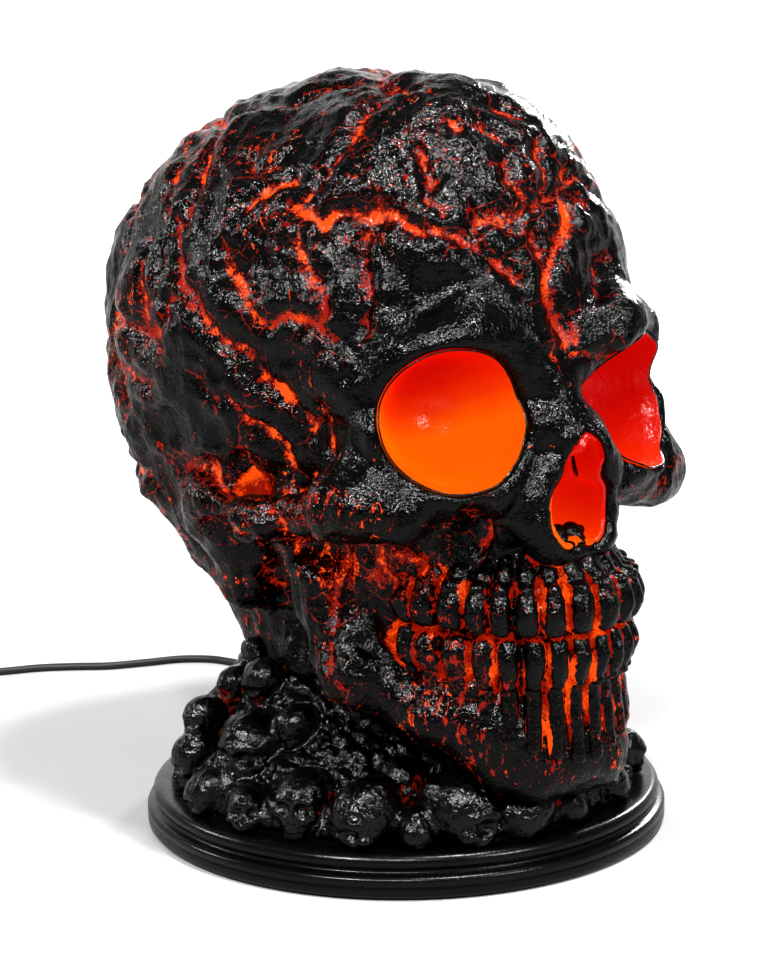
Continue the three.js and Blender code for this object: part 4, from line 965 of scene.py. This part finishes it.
# small skulls: direction from the middle in degrees, radius, height and size in shares, turn aside, tip
shownSkulls = [
    (147, 0.56, 0.64, 0.08, -30, 0), (153, 0.65, 0.53, 0.085, 20, 10), (160, 0.79, 0.44, 0.09, 10, 0),
    (162, 0.83, 0.3, 0.1, -10, 20), (180, 0.7, 0.38, 0.15, 25, -5), (-153, 0.8, 0.27, 0.125, 5, -8),
    (-136, 0.84, 0.25, 0.14, -35, 10), (-112, 0.83, 0.25, 0.16, 40, 0), (-96, 0.84, 0.22, 0.13, -60, 40),
    (-83, 0.85, 0.2, 0.08, 30, 60), (-64, 0.84, 0.22, 0.1, -25, 20), (-40, 0.84, 0.24, 0.1, 15, 0),
    (-124, 0.86, 0.2, 0.09, 10, 30), (177, 0.85, 0.22, 0.11, -20, 10), (-168, 0.85, 0.21, 0.1, 35, -20),
    (-128, 0.69, 0.34, 0.09, -10, 0), (-168, 0.6, 0.46, 0.09, -30, 30),
]
ringRows = [
    {"count": 17, "radius": 0.8, "height": 0.25, "size": 0.105, "start": 0.2, "fromFront": 1},
    {"count": 14, "radius": 0.68, "height": 0.41, "size": 0.105, "start": 0.55, "fromFront": 1},
    {"count": 11, "radius": 0.57, "height": 0.58, "size": 0.095, "start": 0.1, "fromFront": 0.5},
]
ringFacts = {"aside": 40, "tip": 20, "apart": 0.9}
smallRows = [
    (egg, "", 0.2, {"at": (0, 0.12, 0.12), "size": (0.82, 1.0, 0.84)}),
    (egg, "", 0.25, {"at": (0, -0.42, -0.4), "size": (0.5, 0.42, 0.55)}),
    (egg, "", 0.15, {"at": (0, -0.5, -0.95), "size": (0.36, 0.32, 0.34)}),
    (egg, "pair", 0.12, {"at": (0.5, -0.5, -0.3), "size": (0.22, 0.24, 0.16)}),
    (bone, "pair", 0.1, {"start": (0.08, -0.84, 0.12), "end": (0.5, -0.66, 0.12), "thick": (0.1, 0.09)}),
    (egg, "pair hollow", 0.06, {"at": (0.3, -0.92, -0.12), "size": (0.24, 0.34, 0.22)}),
    (egg, "hollow", 0.05, {"at": (0, -0.98, -0.45), "size": (0.1, 0.26, 0.15)}),
    (egg, "hollow", 0.04, {"at": (0, -0.86, -0.84), "size": (0.32, 0.2, 0.035)}),
]


def smallForm(q):
    return strokes(q, smallRows)


def smallSkull(angle, radius, height, size, aside, tip):
    # its middle, its size, and the columns of its right, back and up
    c, s = cosSin(angle)
    middle = np.array([radius * c, radius * s, height])
    c, s = cosSin(angle + 90 + aside)
    right = np.array([c, s, 0])
    back, up = np.array([-s, c, 0]), np.array([0, 0, 1.0])
    c, s = cosSin(tip)
    return middle, size, np.stack([right, c * back + s * up, c * up - s * back], 1)


def smallSkulls():
    placed = [smallSkull(*row) for row in shownSkulls]
    for row in ringRows:
        for i in range(row["count"]):
            angle = (i + row["start"]) / row["count"] * 360
            if math.sin(math.radians(angle)) < -row["fromFront"]:
                continue
            aside, tip = ringFacts["aside"] * math.sin(5 * i), ringFacts["tip"] * math.sin(3 * i)
            small = smallSkull(angle, row["radius"], row["height"], row["size"], aside, tip)
            if all(np.linalg.norm(small[0] - middle) > ringFacts["apart"] * (small[1] + size)
                   for middle, size, _ in placed):
                placed.append(small)
    return placed


def makeMound():
    facts = moundFacts
    placed = smallSkulls()

    def moundForm(p):
        distance = strokes(p, heapRows)
        for centre, size, matrix in placed:
            near = np.flatnonzero(((p - centre) ** 2).sum(1) < (facts["smallNear"] * size) ** 2)
            if len(near):
                small = smallForm((p[near] - centre) @ matrix / size) * size
                distance[near] = soften(distance[near], small, facts["smallBlend"])
        fromNeck = np.hypot(p[:, 0], p[:, 1] - skullFacts["neckMiddle"])
        neck = np.maximum(fromNeck - facts["collar"], p[:, 2] - facts["seat"])
        room = np.maximum(plainSkull(p) - facts["room"], -neck)
        seat = np.maximum(fromNeck - facts["seatReach"], facts["seat"] - p[:, 2])
        distance = carve(carve(distance, room, facts["roomEdge"]), seat, facts["seatEdge"])
        return np.maximum(distance, facts["foot"] - p[:, 2])

    places, faces = formMesh(moundForm, facts["low"], facts["high"], facts["step"])
    normals = meshNormals(places, faces)
    onSkull = np.zeros(len(places))
    for centre, size, matrix in placed:
        near = ((places - centre) ** 2).sum(1) < (facts["smallSkin"] * size) ** 2
        small = smallForm((places[near] - centre) @ matrix / size) * size
        onIt = np.clip(1 - np.abs(small) / facts["smallFade"], 0, 1)
        onSkull[near] = np.maximum(onSkull[near], onIt)
    coarse = stones(places, facts["stoneSize"], 51)
    grit = stones(places, facts["gritSize"], 52)
    rubble = facts["stones"] * coarse + facts["grit"] * grit - facts["sunk"]
    smooth = facts["smooth"] * lumps(places, facts["smoothSize"], 53)
    raised = rising(places[:, 2], facts["foot"], facts["footFade"])
    shift = (rubble * (1 - onSkull) + smooth * onSkull) * raised
    between = (1 - coarse) * (1 - onSkull)
    dent = dentOf(moundForm, places, normals) + facts["between"] * between
    masks = {"dent": np.clip(dent, 0, 1), "small": onSkull}
    mound = addMesh("mound", (places + shift[:, None] * normals) * share, faces, moundPaint, masks)
    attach(mound, "lamp")
    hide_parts("mound_casting")


# Plinth: a turned ring with a foot, a cove and a rounded rim
plinthFacts = {
    "sides": 192,
    "profile": [
        (0.0943, 0.0008), (0.0985, 0.0008), (0.0994, 0.0011), (0.0999, 0.0018), (0.1, 0.0026),
        (0.1, 0.0048), (0.0998, 0.0051), (0.0998, 0.0054), (0.1, 0.0057), (0.1, 0.0072),
        (0.0996, 0.008), (0.0987, 0.0085), (0.0975, 0.0087), (0.0966, 0.0091), (0.0962, 0.0098),
        (0.0965, 0.0104), (0.0971, 0.0109), (0.0975, 0.0117), (0.0976, 0.0127), (0.0973, 0.0138),
        (0.0967, 0.0147), (0.0958, 0.0153), (0.0945, 0.0155), (0.072, 0.0155), (0.072, 0.0066),
        (0.0943, 0.0066),
    ],
}


def latheMesh(profile, sides):
    around = np.linspace(0, 2 * math.pi, sides, endpoint=False)
    places = np.concatenate([
        np.stack([r * np.cos(around), r * np.sin(around), np.full(sides, z)], 1) for r, z in profile
    ])
    return places, ringFaces(len(profile), sides)


def makePlinth():
    places, faces = latheMesh(plinthFacts["profile"], plinthFacts["sides"])
    ring = addMesh("plinthRing", places, faces, plinthPaint)
    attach(ring, "lamp")
    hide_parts("plinth_ring")


# Materials
paintFacts = {
    "black": (0.0001, 0.0001, 0.00012), "worn": (0.0006, 0.00055, 0.00055),
    "rust": (0.035, 0.0015, 0.0004), "ember": (0.42, 0.016, 0.002), "flame": (1.0, 0.14, 0.01),
    "glow": 1.1, "bowlRed": (0.04, 0.0014, 0.0004),
    "moundWorn": (0.0012, 0.0011, 0.0011), "moundRust": (0.02, 0.003, 0.001),
    "plinth": ((0.0005, 0.0005, 0.0006), (0.0014, 0.0013, 0.0014)), "plinthChip": (0.05, 0.018, 0.01),
}
# the bowls' light, from the orange below to the deep red above
bowlStops = [
    (0.0, (1.0, 0.19, 0.0)), (0.33, (0.86, 0.055, 0.0)), (0.62, (0.72, 0.01, 0.0)),
    (0.92, (0.6, 0.001, 0.0)),
]


# the skin's noise scales, and where each kind of red starts and is full
lavaFacts = {
    "streak": 330, "streakSquash": (1.0, 1.0, 0.3), "drift": 60, "wobble": 330, "speck": 1200,
    "heat": 24, "veins": 75, "veinSway": (0.006, 90), "pores": 700,
    "hair": (0.02, 0.0), "hairNear": (0.1, 0.5), "core": (0.3, -0.5), "edge": (0.8, -0.2),
    "dabs": (0.695, 0.735), "dust": (0.74, 0.78), "crease": (0.72, 0.82), "warm": (0.38, 0.52),
    "hotCrease": (0.7, 0.85), "hotDabs": (1.08, 1.2), "worn": (0.5, 0.9),
    "bump": (0.6, 0.0007), "specular": 0.22,
}


def lavaMaterial():
    facts = lavaFacts
    sheet = Sheet("lavaSkin")
    gap, veil, dent, zone = (sheet.mask(k) for k in ("crack", "veil", "dent", "zone"))
    bent = sheet.shifted(*facts["veinSway"])
    streak = sheet.noise(facts["streak"], 3, 0.6, 0.6, at=sheet.stretched(*facts["streakSquash"]))
    drift = sheet.noise(facts["drift"], 3, 0.55)
    wobble = sheet.noise(facts["wobble"], 3, 0.6)
    speck = sheet.noise(facts["speck"], 2, 0.6)
    heat = sheet.noise(facts["heat"], 2, 0.5)
    veins = sheet.cells(facts["veins"], "DISTANCE_TO_EDGE", at=bent)
    pores = sheet.cells(facts["pores"])
    hair = (veins + (wobble - 0.5) * 0.16).span(*facts["hair"])
    hair = hair * (veil + drift - 0.95).span(*facts["hairNear"])
    ragged = (wobble - 0.5) * 6 + (speck - 0.5) * 3.5
    core = (gap + ragged + (drift - 0.5) * 5 + 0.5).span(*facts["core"])
    edge = (gap + ragged * 1.3 + (drift - 0.5) * 3).span(*facts["edge"])
    dabs = (streak + (zone - 0.5) * 0.22 + veil * 0.02 + (wobble - 0.5) * 0.6).span(*facts["dabs"])
    dust = (speck + (zone - 0.5) * 0.2 + veil * 0.06 + (wobble - 0.5) * 0.8).span(*facts["dust"])
    crease = dent * 0.9 + (wobble - 0.5) * 1.2 + (drift - 0.5) * 1.5 + (zone - 0.5) * 0.1
    crease = crease.span(*facts["crease"])
    red = core.high(edge * 0.7).high(hair * 0.6).high(dabs * 0.75).high(dust * 0.7).high(crease * 0.75)
    warm = (heat + (wobble - 0.5) * 0.4).span(*facts["warm"])
    hotCrease = crease * (drift + speck * 0.3).span(*facts["hotCrease"])
    hotDabs = dabs * (speck + heat).span(*facts["hotDabs"])
    hot = (core * warm).high(hotCrease).high(hotDabs)
    light = sheet.mix(hot, sheet.tint(paintFacts["ember"], red), paintFacts["flame"])
    worn = (drift + speck * 0.4).span(*facts["worn"])
    paint = sheet.mix(worn, paintFacts["black"], paintFacts["worn"])
    base = sheet.mix(red, paint, paintFacts["rust"])
    height = pores * 0.25 + abs(wobble - 0.5) * 2.0 + speck * 0.04 + streak * 1.1 + core * -0.5
    normal = sheet.bump(height, *facts["bump"])
    rough = wobble * 0.22 + drift * 0.06 + 0.02
    return sheet.finish(Base_Color=base, Roughness=rough, Normal=normal, Emission_Color=light,
                        Emission_Strength=paintFacts["glow"], Specular_IOR_Level=facts["specular"])


bowlShade = {"drift": 38, "ragged": 520, "fine": 480, "paint": (0.42, 0.55), "bump": (0.3, 0.0012),
             "specular": 0.25}


def bowlMaterial():
    facts = bowlShade
    sheet = Sheet("bowlGlow")
    tall, paint = sheet.mask("tall"), sheet.mask("paint")
    drift = sheet.noise(facts["drift"], 2, 0.5)
    ragged = sheet.noise(facts["ragged"], 3, 0.6)
    depth = tall + (drift - 0.5) * 0.25
    light = sheet.node("ShaderNodeValToRGB", {"stops": bowlStops}, {"Fac": depth}, "Color")
    black = (paint + (ragged - 0.5) * 0.8).span(*facts["paint"])
    glow = sheet.mix(black, light, (0.0, 0.0, 0.0))
    base = sheet.mix(black, paintFacts["bowlRed"], paintFacts["black"])
    normal = sheet.bump(sheet.noise(facts["fine"], 2, 0.5) + ragged * 0.3, *facts["bump"])
    return sheet.finish(Base_Color=base, Roughness=drift * 0.12 + 0.2, Normal=normal, Emission_Color=glow,
                        Emission_Strength=1.0, Specular_IOR_Level=facts["specular"])


moundShade = {
    "drift": 55, "wobble": 420, "speck": 1600, "pits": 420, "ridges": 200, "crease": (0.85, 1.15),
    "worn": (0.75, 0.95), "bump": (0.6, 0.0012), "specular": 0.34,
}


def moundMaterial():
    facts = moundShade
    sheet = Sheet("moundPaint")
    dent, small = sheet.mask("dent"), sheet.mask("small")
    drift = sheet.noise(facts["drift"], 3, 0.6)
    wobble = sheet.noise(facts["wobble"], 3, 0.6)
    speck = sheet.noise(facts["speck"], 2, 0.6)
    crease = (dent * 0.85 + (wobble - 0.5) * 1.6 + (drift - 0.5) * 1.8).span(*facts["crease"])
    worn = (speck + drift * 0.4).span(*facts["worn"])
    base = sheet.mix(worn, paintFacts["black"], paintFacts["moundWorn"])
    base = sheet.mix(crease * 0.7, base, paintFacts["moundRust"])
    light = sheet.tint(paintFacts["ember"], crease * 0.35)
    ridges = abs(sheet.noise(facts["ridges"], 3, 0.6) - 0.5)
    height = wobble * 0.8 + speck * 0.2 + sheet.cells(facts["pits"]) * 0.5 + ridges * 1.5
    normal = sheet.bump(height * (1 - small * 0.25), *facts["bump"])
    rough = wobble * 0.24 + 0.04 + drift * 0.06
    return sheet.finish(Base_Color=base, Roughness=rough, Normal=normal, Emission_Color=light,
                        Emission_Strength=1.0, Specular_IOR_Level=facts["specular"])


plinthShade = {"drift": 70, "fine": 900, "chips": 260, "chip": (0.76, 0.8), "bump": (0.16, 0.0009),
               "specular": 0.25}


def plinthMaterial():
    facts = plinthShade
    sheet = Sheet("plinthPaint")
    drift = sheet.noise(facts["drift"], 3, 0.6)
    fine = sheet.noise(facts["fine"], 3, 0.65)
    chip = (sheet.noise(facts["chips"], 2, 0.7) + (fine - 0.5) * 0.3).span(*facts["chip"])
    base = sheet.mix(chip, sheet.mix(drift, *paintFacts["plinth"]), paintFacts["plinthChip"])
    normal = sheet.bump(fine * 0.5 + drift - chip, *facts["bump"])
    return sheet.finish(Base_Color=base, Roughness=drift * 0.2 + fine * 0.12 + 0.1, Normal=normal,
                        Specular_IOR_Level=facts["specular"])


def mouldedMaterial(name, first, second, roughness, scale=700, metallic=0.0, glow=0.0):
    # one recipe for the plain parts: a fine grain, a slow drift of colour, and wear in the roughness
    sheet = Sheet(name)
    drift, grain = sheet.noise(45, 3, 0.6), sheet.noise(scale, 3, 0.6)
    base = sheet.mix(drift * 0.7 + grain * 0.3, first, second)
    normal = sheet.bump(grain, 0.12, 0.0004)
    settings = {"Base_Color": base, "Roughness": drift * 0.12 + grain * 0.1 + roughness, "Normal": normal,
                "Metallic": metallic}
    if glow:
        settings.update(Emission_Color=sheet.tint(first, drift * 0.3 + 0.7), Emission_Strength=glow)
    return sheet.finish(**settings)


lavaSkin = lavaMaterial()
bowlGlow = bowlMaterial()
moundPaint = moundMaterial()
plinthPaint = plinthMaterial()
cordSheath = mouldedMaterial("cordSheath", (0.009, 0.009, 0.01), (0.02, 0.02, 0.021), 0.38, 1200)
blackPlastic = mouldedMaterial("blackPlastic", (0.012, 0.012, 0.013), (0.024, 0.024, 0.026), 0.36, 1500)
whitePlastic = mouldedMaterial("whitePlastic", (0.72, 0.7, 0.64), (0.8, 0.79, 0.74), 0.38)
foamPad = mouldedMaterial("foamPad", (0.018, 0.018, 0.02), (0.035, 0.035, 0.037), 0.8, 1800)
brightSteel = mouldedMaterial("brightSteel", (0.55, 0.56, 0.58), (0.68, 0.68, 0.7), 0.18, 2200,
                              metallic=1.0)
lampChip = mouldedMaterial("lampChip", (1.0, 0.5, 0.12), (1.0, 0.62, 0.2), 0.3, 1500, glow=2.0)
boardWhite = mouldedMaterial("boardWhite", (0.75, 0.76, 0.72), (0.82, 0.82, 0.8), 0.45, 900)
print("stage: materials")


# Cord: its route repeats the solid's points, in millimetres
cordRoute = {
    "inner": [
        (0, 105.3, 11), (0, 92, 11), (0, 76, 11), (0, 58, 11), (0, 40, 11), (0, 24, 11),
        (0, 13, 11), (0, 7.2, 12), (0, 3.2, 15.1), (0, 1.1, 19.8), (0, 0.3, 27),
        (0, 0, 42), (0, 0, 72), (0, 0, 105.7),
    ],
    "run": [
        (0, 105.6, 11), (0, 114, 10.8), (1, 122, 8.6), (4, 131, 4.6), (10, 141, 2.1), (18, 150, 1.8),
        (30, 160, 1.8), (43, 169, 1.8), (54, 180, 1.8), (61, 194, 1.8), (63.6, 210, 1.8), (62, 224, 1.8),
        (56, 239, 1.8), (44, 249, 1.8), (28.5, 253.5, 1.8), (10, 259.5, 1.8), (-4, 269, 1.8),
        (-19, 277.5, 1.8), (-37, 283, 1.8), (-50, 286.3, 2.6), (-61, 289.2, 5.4), (-67, 290.6, 7),
        (-72, 292, 7.45),
    ],
    "link": [
        (-126.34, 307.85, 7.45), (-131, 309.2, 7), (-138, 311.2, 4.6), (-148, 314.1, 2.1),
        (-157, 316.75, 1.8), (-166.1, 319.41, 1.8),
    ],
    "tail": [
        (-173.42, 321.55, 5.8), (-178, 322.88, 5.7), (-187, 325.5, 4), (-197, 328.4, 2.4),
        (-208, 331.6, 2.2), (-218, 334.5, 3.6), (-226, 336.9, 4.1),
    ],
    "diameter": 3.5,
}
coilFacts = {"turns": 8, "steps": 36, "pitch": 4.0, "outer": 28.0, "middle": (-177.6, 293.6),
             "heading": (-0.96, 0.28), "layers": (1.8, 5.8), "climb": 0.25}


def coilPoints(facts):
    # in over the lower layer, up where the spiral reverses, out over the upper
    heading = math.atan2(facts["heading"][1], facts["heading"][0])
    half = facts["turns"] / 2
    points = []
    for i in range(facts["turns"] * facts["steps"] + 1):
        turns = i / facts["steps"]
        radius = facts["outer"] - facts["pitch"] * (half - abs(turns - half))
        climb = np.clip((turns - half + facts["climb"]) / (2 * facts["climb"]), 0, 1)
        climb = climb * climb * (3 - 2 * climb)
        angle = heading - math.pi / 2 + turns * 2 * math.pi
        low, high = facts["layers"]
        points.append((facts["middle"][0] + radius * math.cos(angle),
                       facts["middle"][1] + radius * math.sin(angle), low + (high - low) * climb))
    return points


def smoothRoute(points, steps=8):
    # a uniform Catmull-Rom curve through the points, with a straight end at both ends
    p = np.array(points, float)
    p = np.concatenate([[2 * p[0] - p[1]], p, [2 * p[-1] - p[-2]]])
    route = []
    for a, b, c, d in zip(p[:-3], p[1:-2], p[2:-1], p[3:]):
        for t in np.linspace(0, 1, steps, endpoint=False):
            route.append(0.5 * (2 * b + (c - a) * t + (2 * a - 5 * b + 4 * c - d) * t * t
                                + (3 * b - a - 3 * c + d) * t ** 3))
    route.append(p[-2])
    return np.array(route)


def addCord(name, points, material, steps=8):
    route = (smoothRoute(points, steps) if steps else np.array(points)) * mm
    curve = bpy.data.curves.new(name, "CURVE")
    curve.dimensions = "3D"
    curve.bevel_depth = cordRoute["diameter"] / 2 * mm
    curve.bevel_resolution = 4
    curve.use_fill_caps = True
    spline = curve.splines.new("POLY")
    spline.points.add(len(route) - 1)
    for point, place in zip(spline.points, route):
        point.co = (*place, 1)
    spline.use_smooth = True
    curve.materials.append(material)
    cord = link(bpy.data.objects.new(name, curve))
    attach(cord, "lamp")
    return cord, float(np.linalg.norm(np.diff(route, axis=0), axis=1).sum())


def nodesNamed(*starts):
    return [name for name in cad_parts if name.startswith(starts)]


def makeCords():
    inner, _ = addCord("innerCord", cordRoute["inner"], cordSheath)
    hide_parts("inner_cord")
    run, runLength = addCord("cordRun", cordRoute["run"], cordSheath)
    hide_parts("cord_run")
    path = np.concatenate([
        smoothRoute(cordRoute["link"]), np.array(coilPoints(coilFacts)), smoothRoute(cordRoute["tail"]),
    ])
    rest, restLength = addCord("cordRest", path, cordSheath, steps=0)
    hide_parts("cord_link", "cord_coil", "cord_tail")
    print("stage: cords", round(runLength, 3), round(restLength, 3))


makeCords()
segments = crackSegments()
print("stage: cracks", len(segments))
makeSkull(segments)
print("stage: skull")
makeBowl("rightEyeBowl", "right_eye_bowl", -1)
makeBowl("leftEyeBowl", "left_eye_bowl", 1)
makeNoseBowl()
makeMound()
print("stage: mound")
makePlinth()


# Finishes for the solids that stay
nodeFinishes = [
    (("switch_contact", "lamp_board", "board_connector", "plug_tongue"), boardWhite),
    (("light_post",), whitePlastic), (("board_lamp",), lampChip), (("base_pad",), foamPad),
    (("bottom_cover", "cord_clamp", "switch_bottom", "switch_top", "driver_chip"), blackPlastic),
    (("cord_grommet", "plug_grip", "switch_rocker"), cordSheath),
    (("neck_screw", "mound_screw", "cover_screw", "post_screw", "board_screw", "clamp_screw",
      "switch_screw", "plug_shell"), brightSteel),
]
for starts, finish in nodeFinishes:
    for name in nodesNamed(*starts):
        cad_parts[name].data.materials.clear()
        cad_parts[name].data.materials.append(finish)


# Stage: a pale floor that curves up all round, and soft light
stageFacts = {
    "tones": ((0.36, 0.36, 0.36), (0.37, 0.37, 0.37)), "roughness": 0.85, "middle": (0.001, 0),
    "flat": 2.6, "bend": 1.2, "bendSteps": 12, "top": (3.8, 3.0), "sides": 96, "sky": 0.35, "gamma": 0.76,
}


def makeStage():
    facts = stageFacts
    floor = Sheet("paleFloor")
    tone = floor.noise(6, 2, 0.5)
    pale = floor.finish(Base_Color=floor.mix(tone, *facts["tones"]), Roughness=facts["roughness"])
    flat, bend = facts["flat"], facts["bend"]
    rise = [(flat + bend * math.sin(angle), bend - bend * math.cos(angle))
            for angle in np.linspace(0, math.pi / 2, facts["bendSteps"])]
    places, faces = latheMesh([facts["middle"], *rise, facts["top"]], facts["sides"])
    # the faces from the top back to the middle would close the room
    faces = [face for face in faces if max(face) - min(face) < facts["sides"] * 2]
    addMesh("floor", places, faces, pale)
    world = bpy.data.worlds.new("studio")
    world.use_nodes = True
    background = world.node_tree.nodes["Background"]
    background.inputs["Color"].default_value = (1, 1, 1, 1)
    background.inputs["Strength"].default_value = facts["sky"]
    bpy.context.scene.view_settings.view_transform = "Standard"
    bpy.context.scene.view_settings.gamma = facts["gamma"]
    bpy.context.scene.world = world


lights = {
    "frontLeft": {"at": (-1.4, -0.6, 1.4), "aim": (0, 0, 0.14), "size": 0.2, "power": 48},
    "frontRight": {"at": (0.3, -1.6, 1.0), "aim": (0, 0, 0.14), "size": 0.17, "power": 24},
    "frontHigh": {"at": (-0.9, -1.1, 1.3), "aim": (0, 0, 0.14), "size": 0.16, "power": 22},
    "above": {"at": (0.1, -0.6, 1.75), "aim": (0, 0, 0.14), "size": 0.2, "power": 42},
    "behindLeft": {"at": (-1.1, 1.1, 0.8), "aim": (0, 0, 0.14), "size": 0.2, "power": 13},
    "behindRight": {"at": (1.3, 0.6, 0.8), "aim": (0, 0, 0.14), "size": 0.2, "power": 13},
    "backdrop": {"at": (0.9, 1.2, 2.4), "aim": (2.2, 3.0, 1.1), "size": 1.4, "power": 300},
}


def makeLights():
    for name, facts in lights.items():
        data = bpy.data.lights.new(name, "AREA")
        data.size, data.energy = facts["size"], facts["power"]
        lamp = link(bpy.data.objects.new(name, data))
        lamp.location = facts["at"]
        way = Vector(facts["aim"]) - lamp.location
        lamp.rotation_euler = way.to_track_quat("-Z", "Y").to_euler()


makeStage()
makeLights()
print("stage: lights")
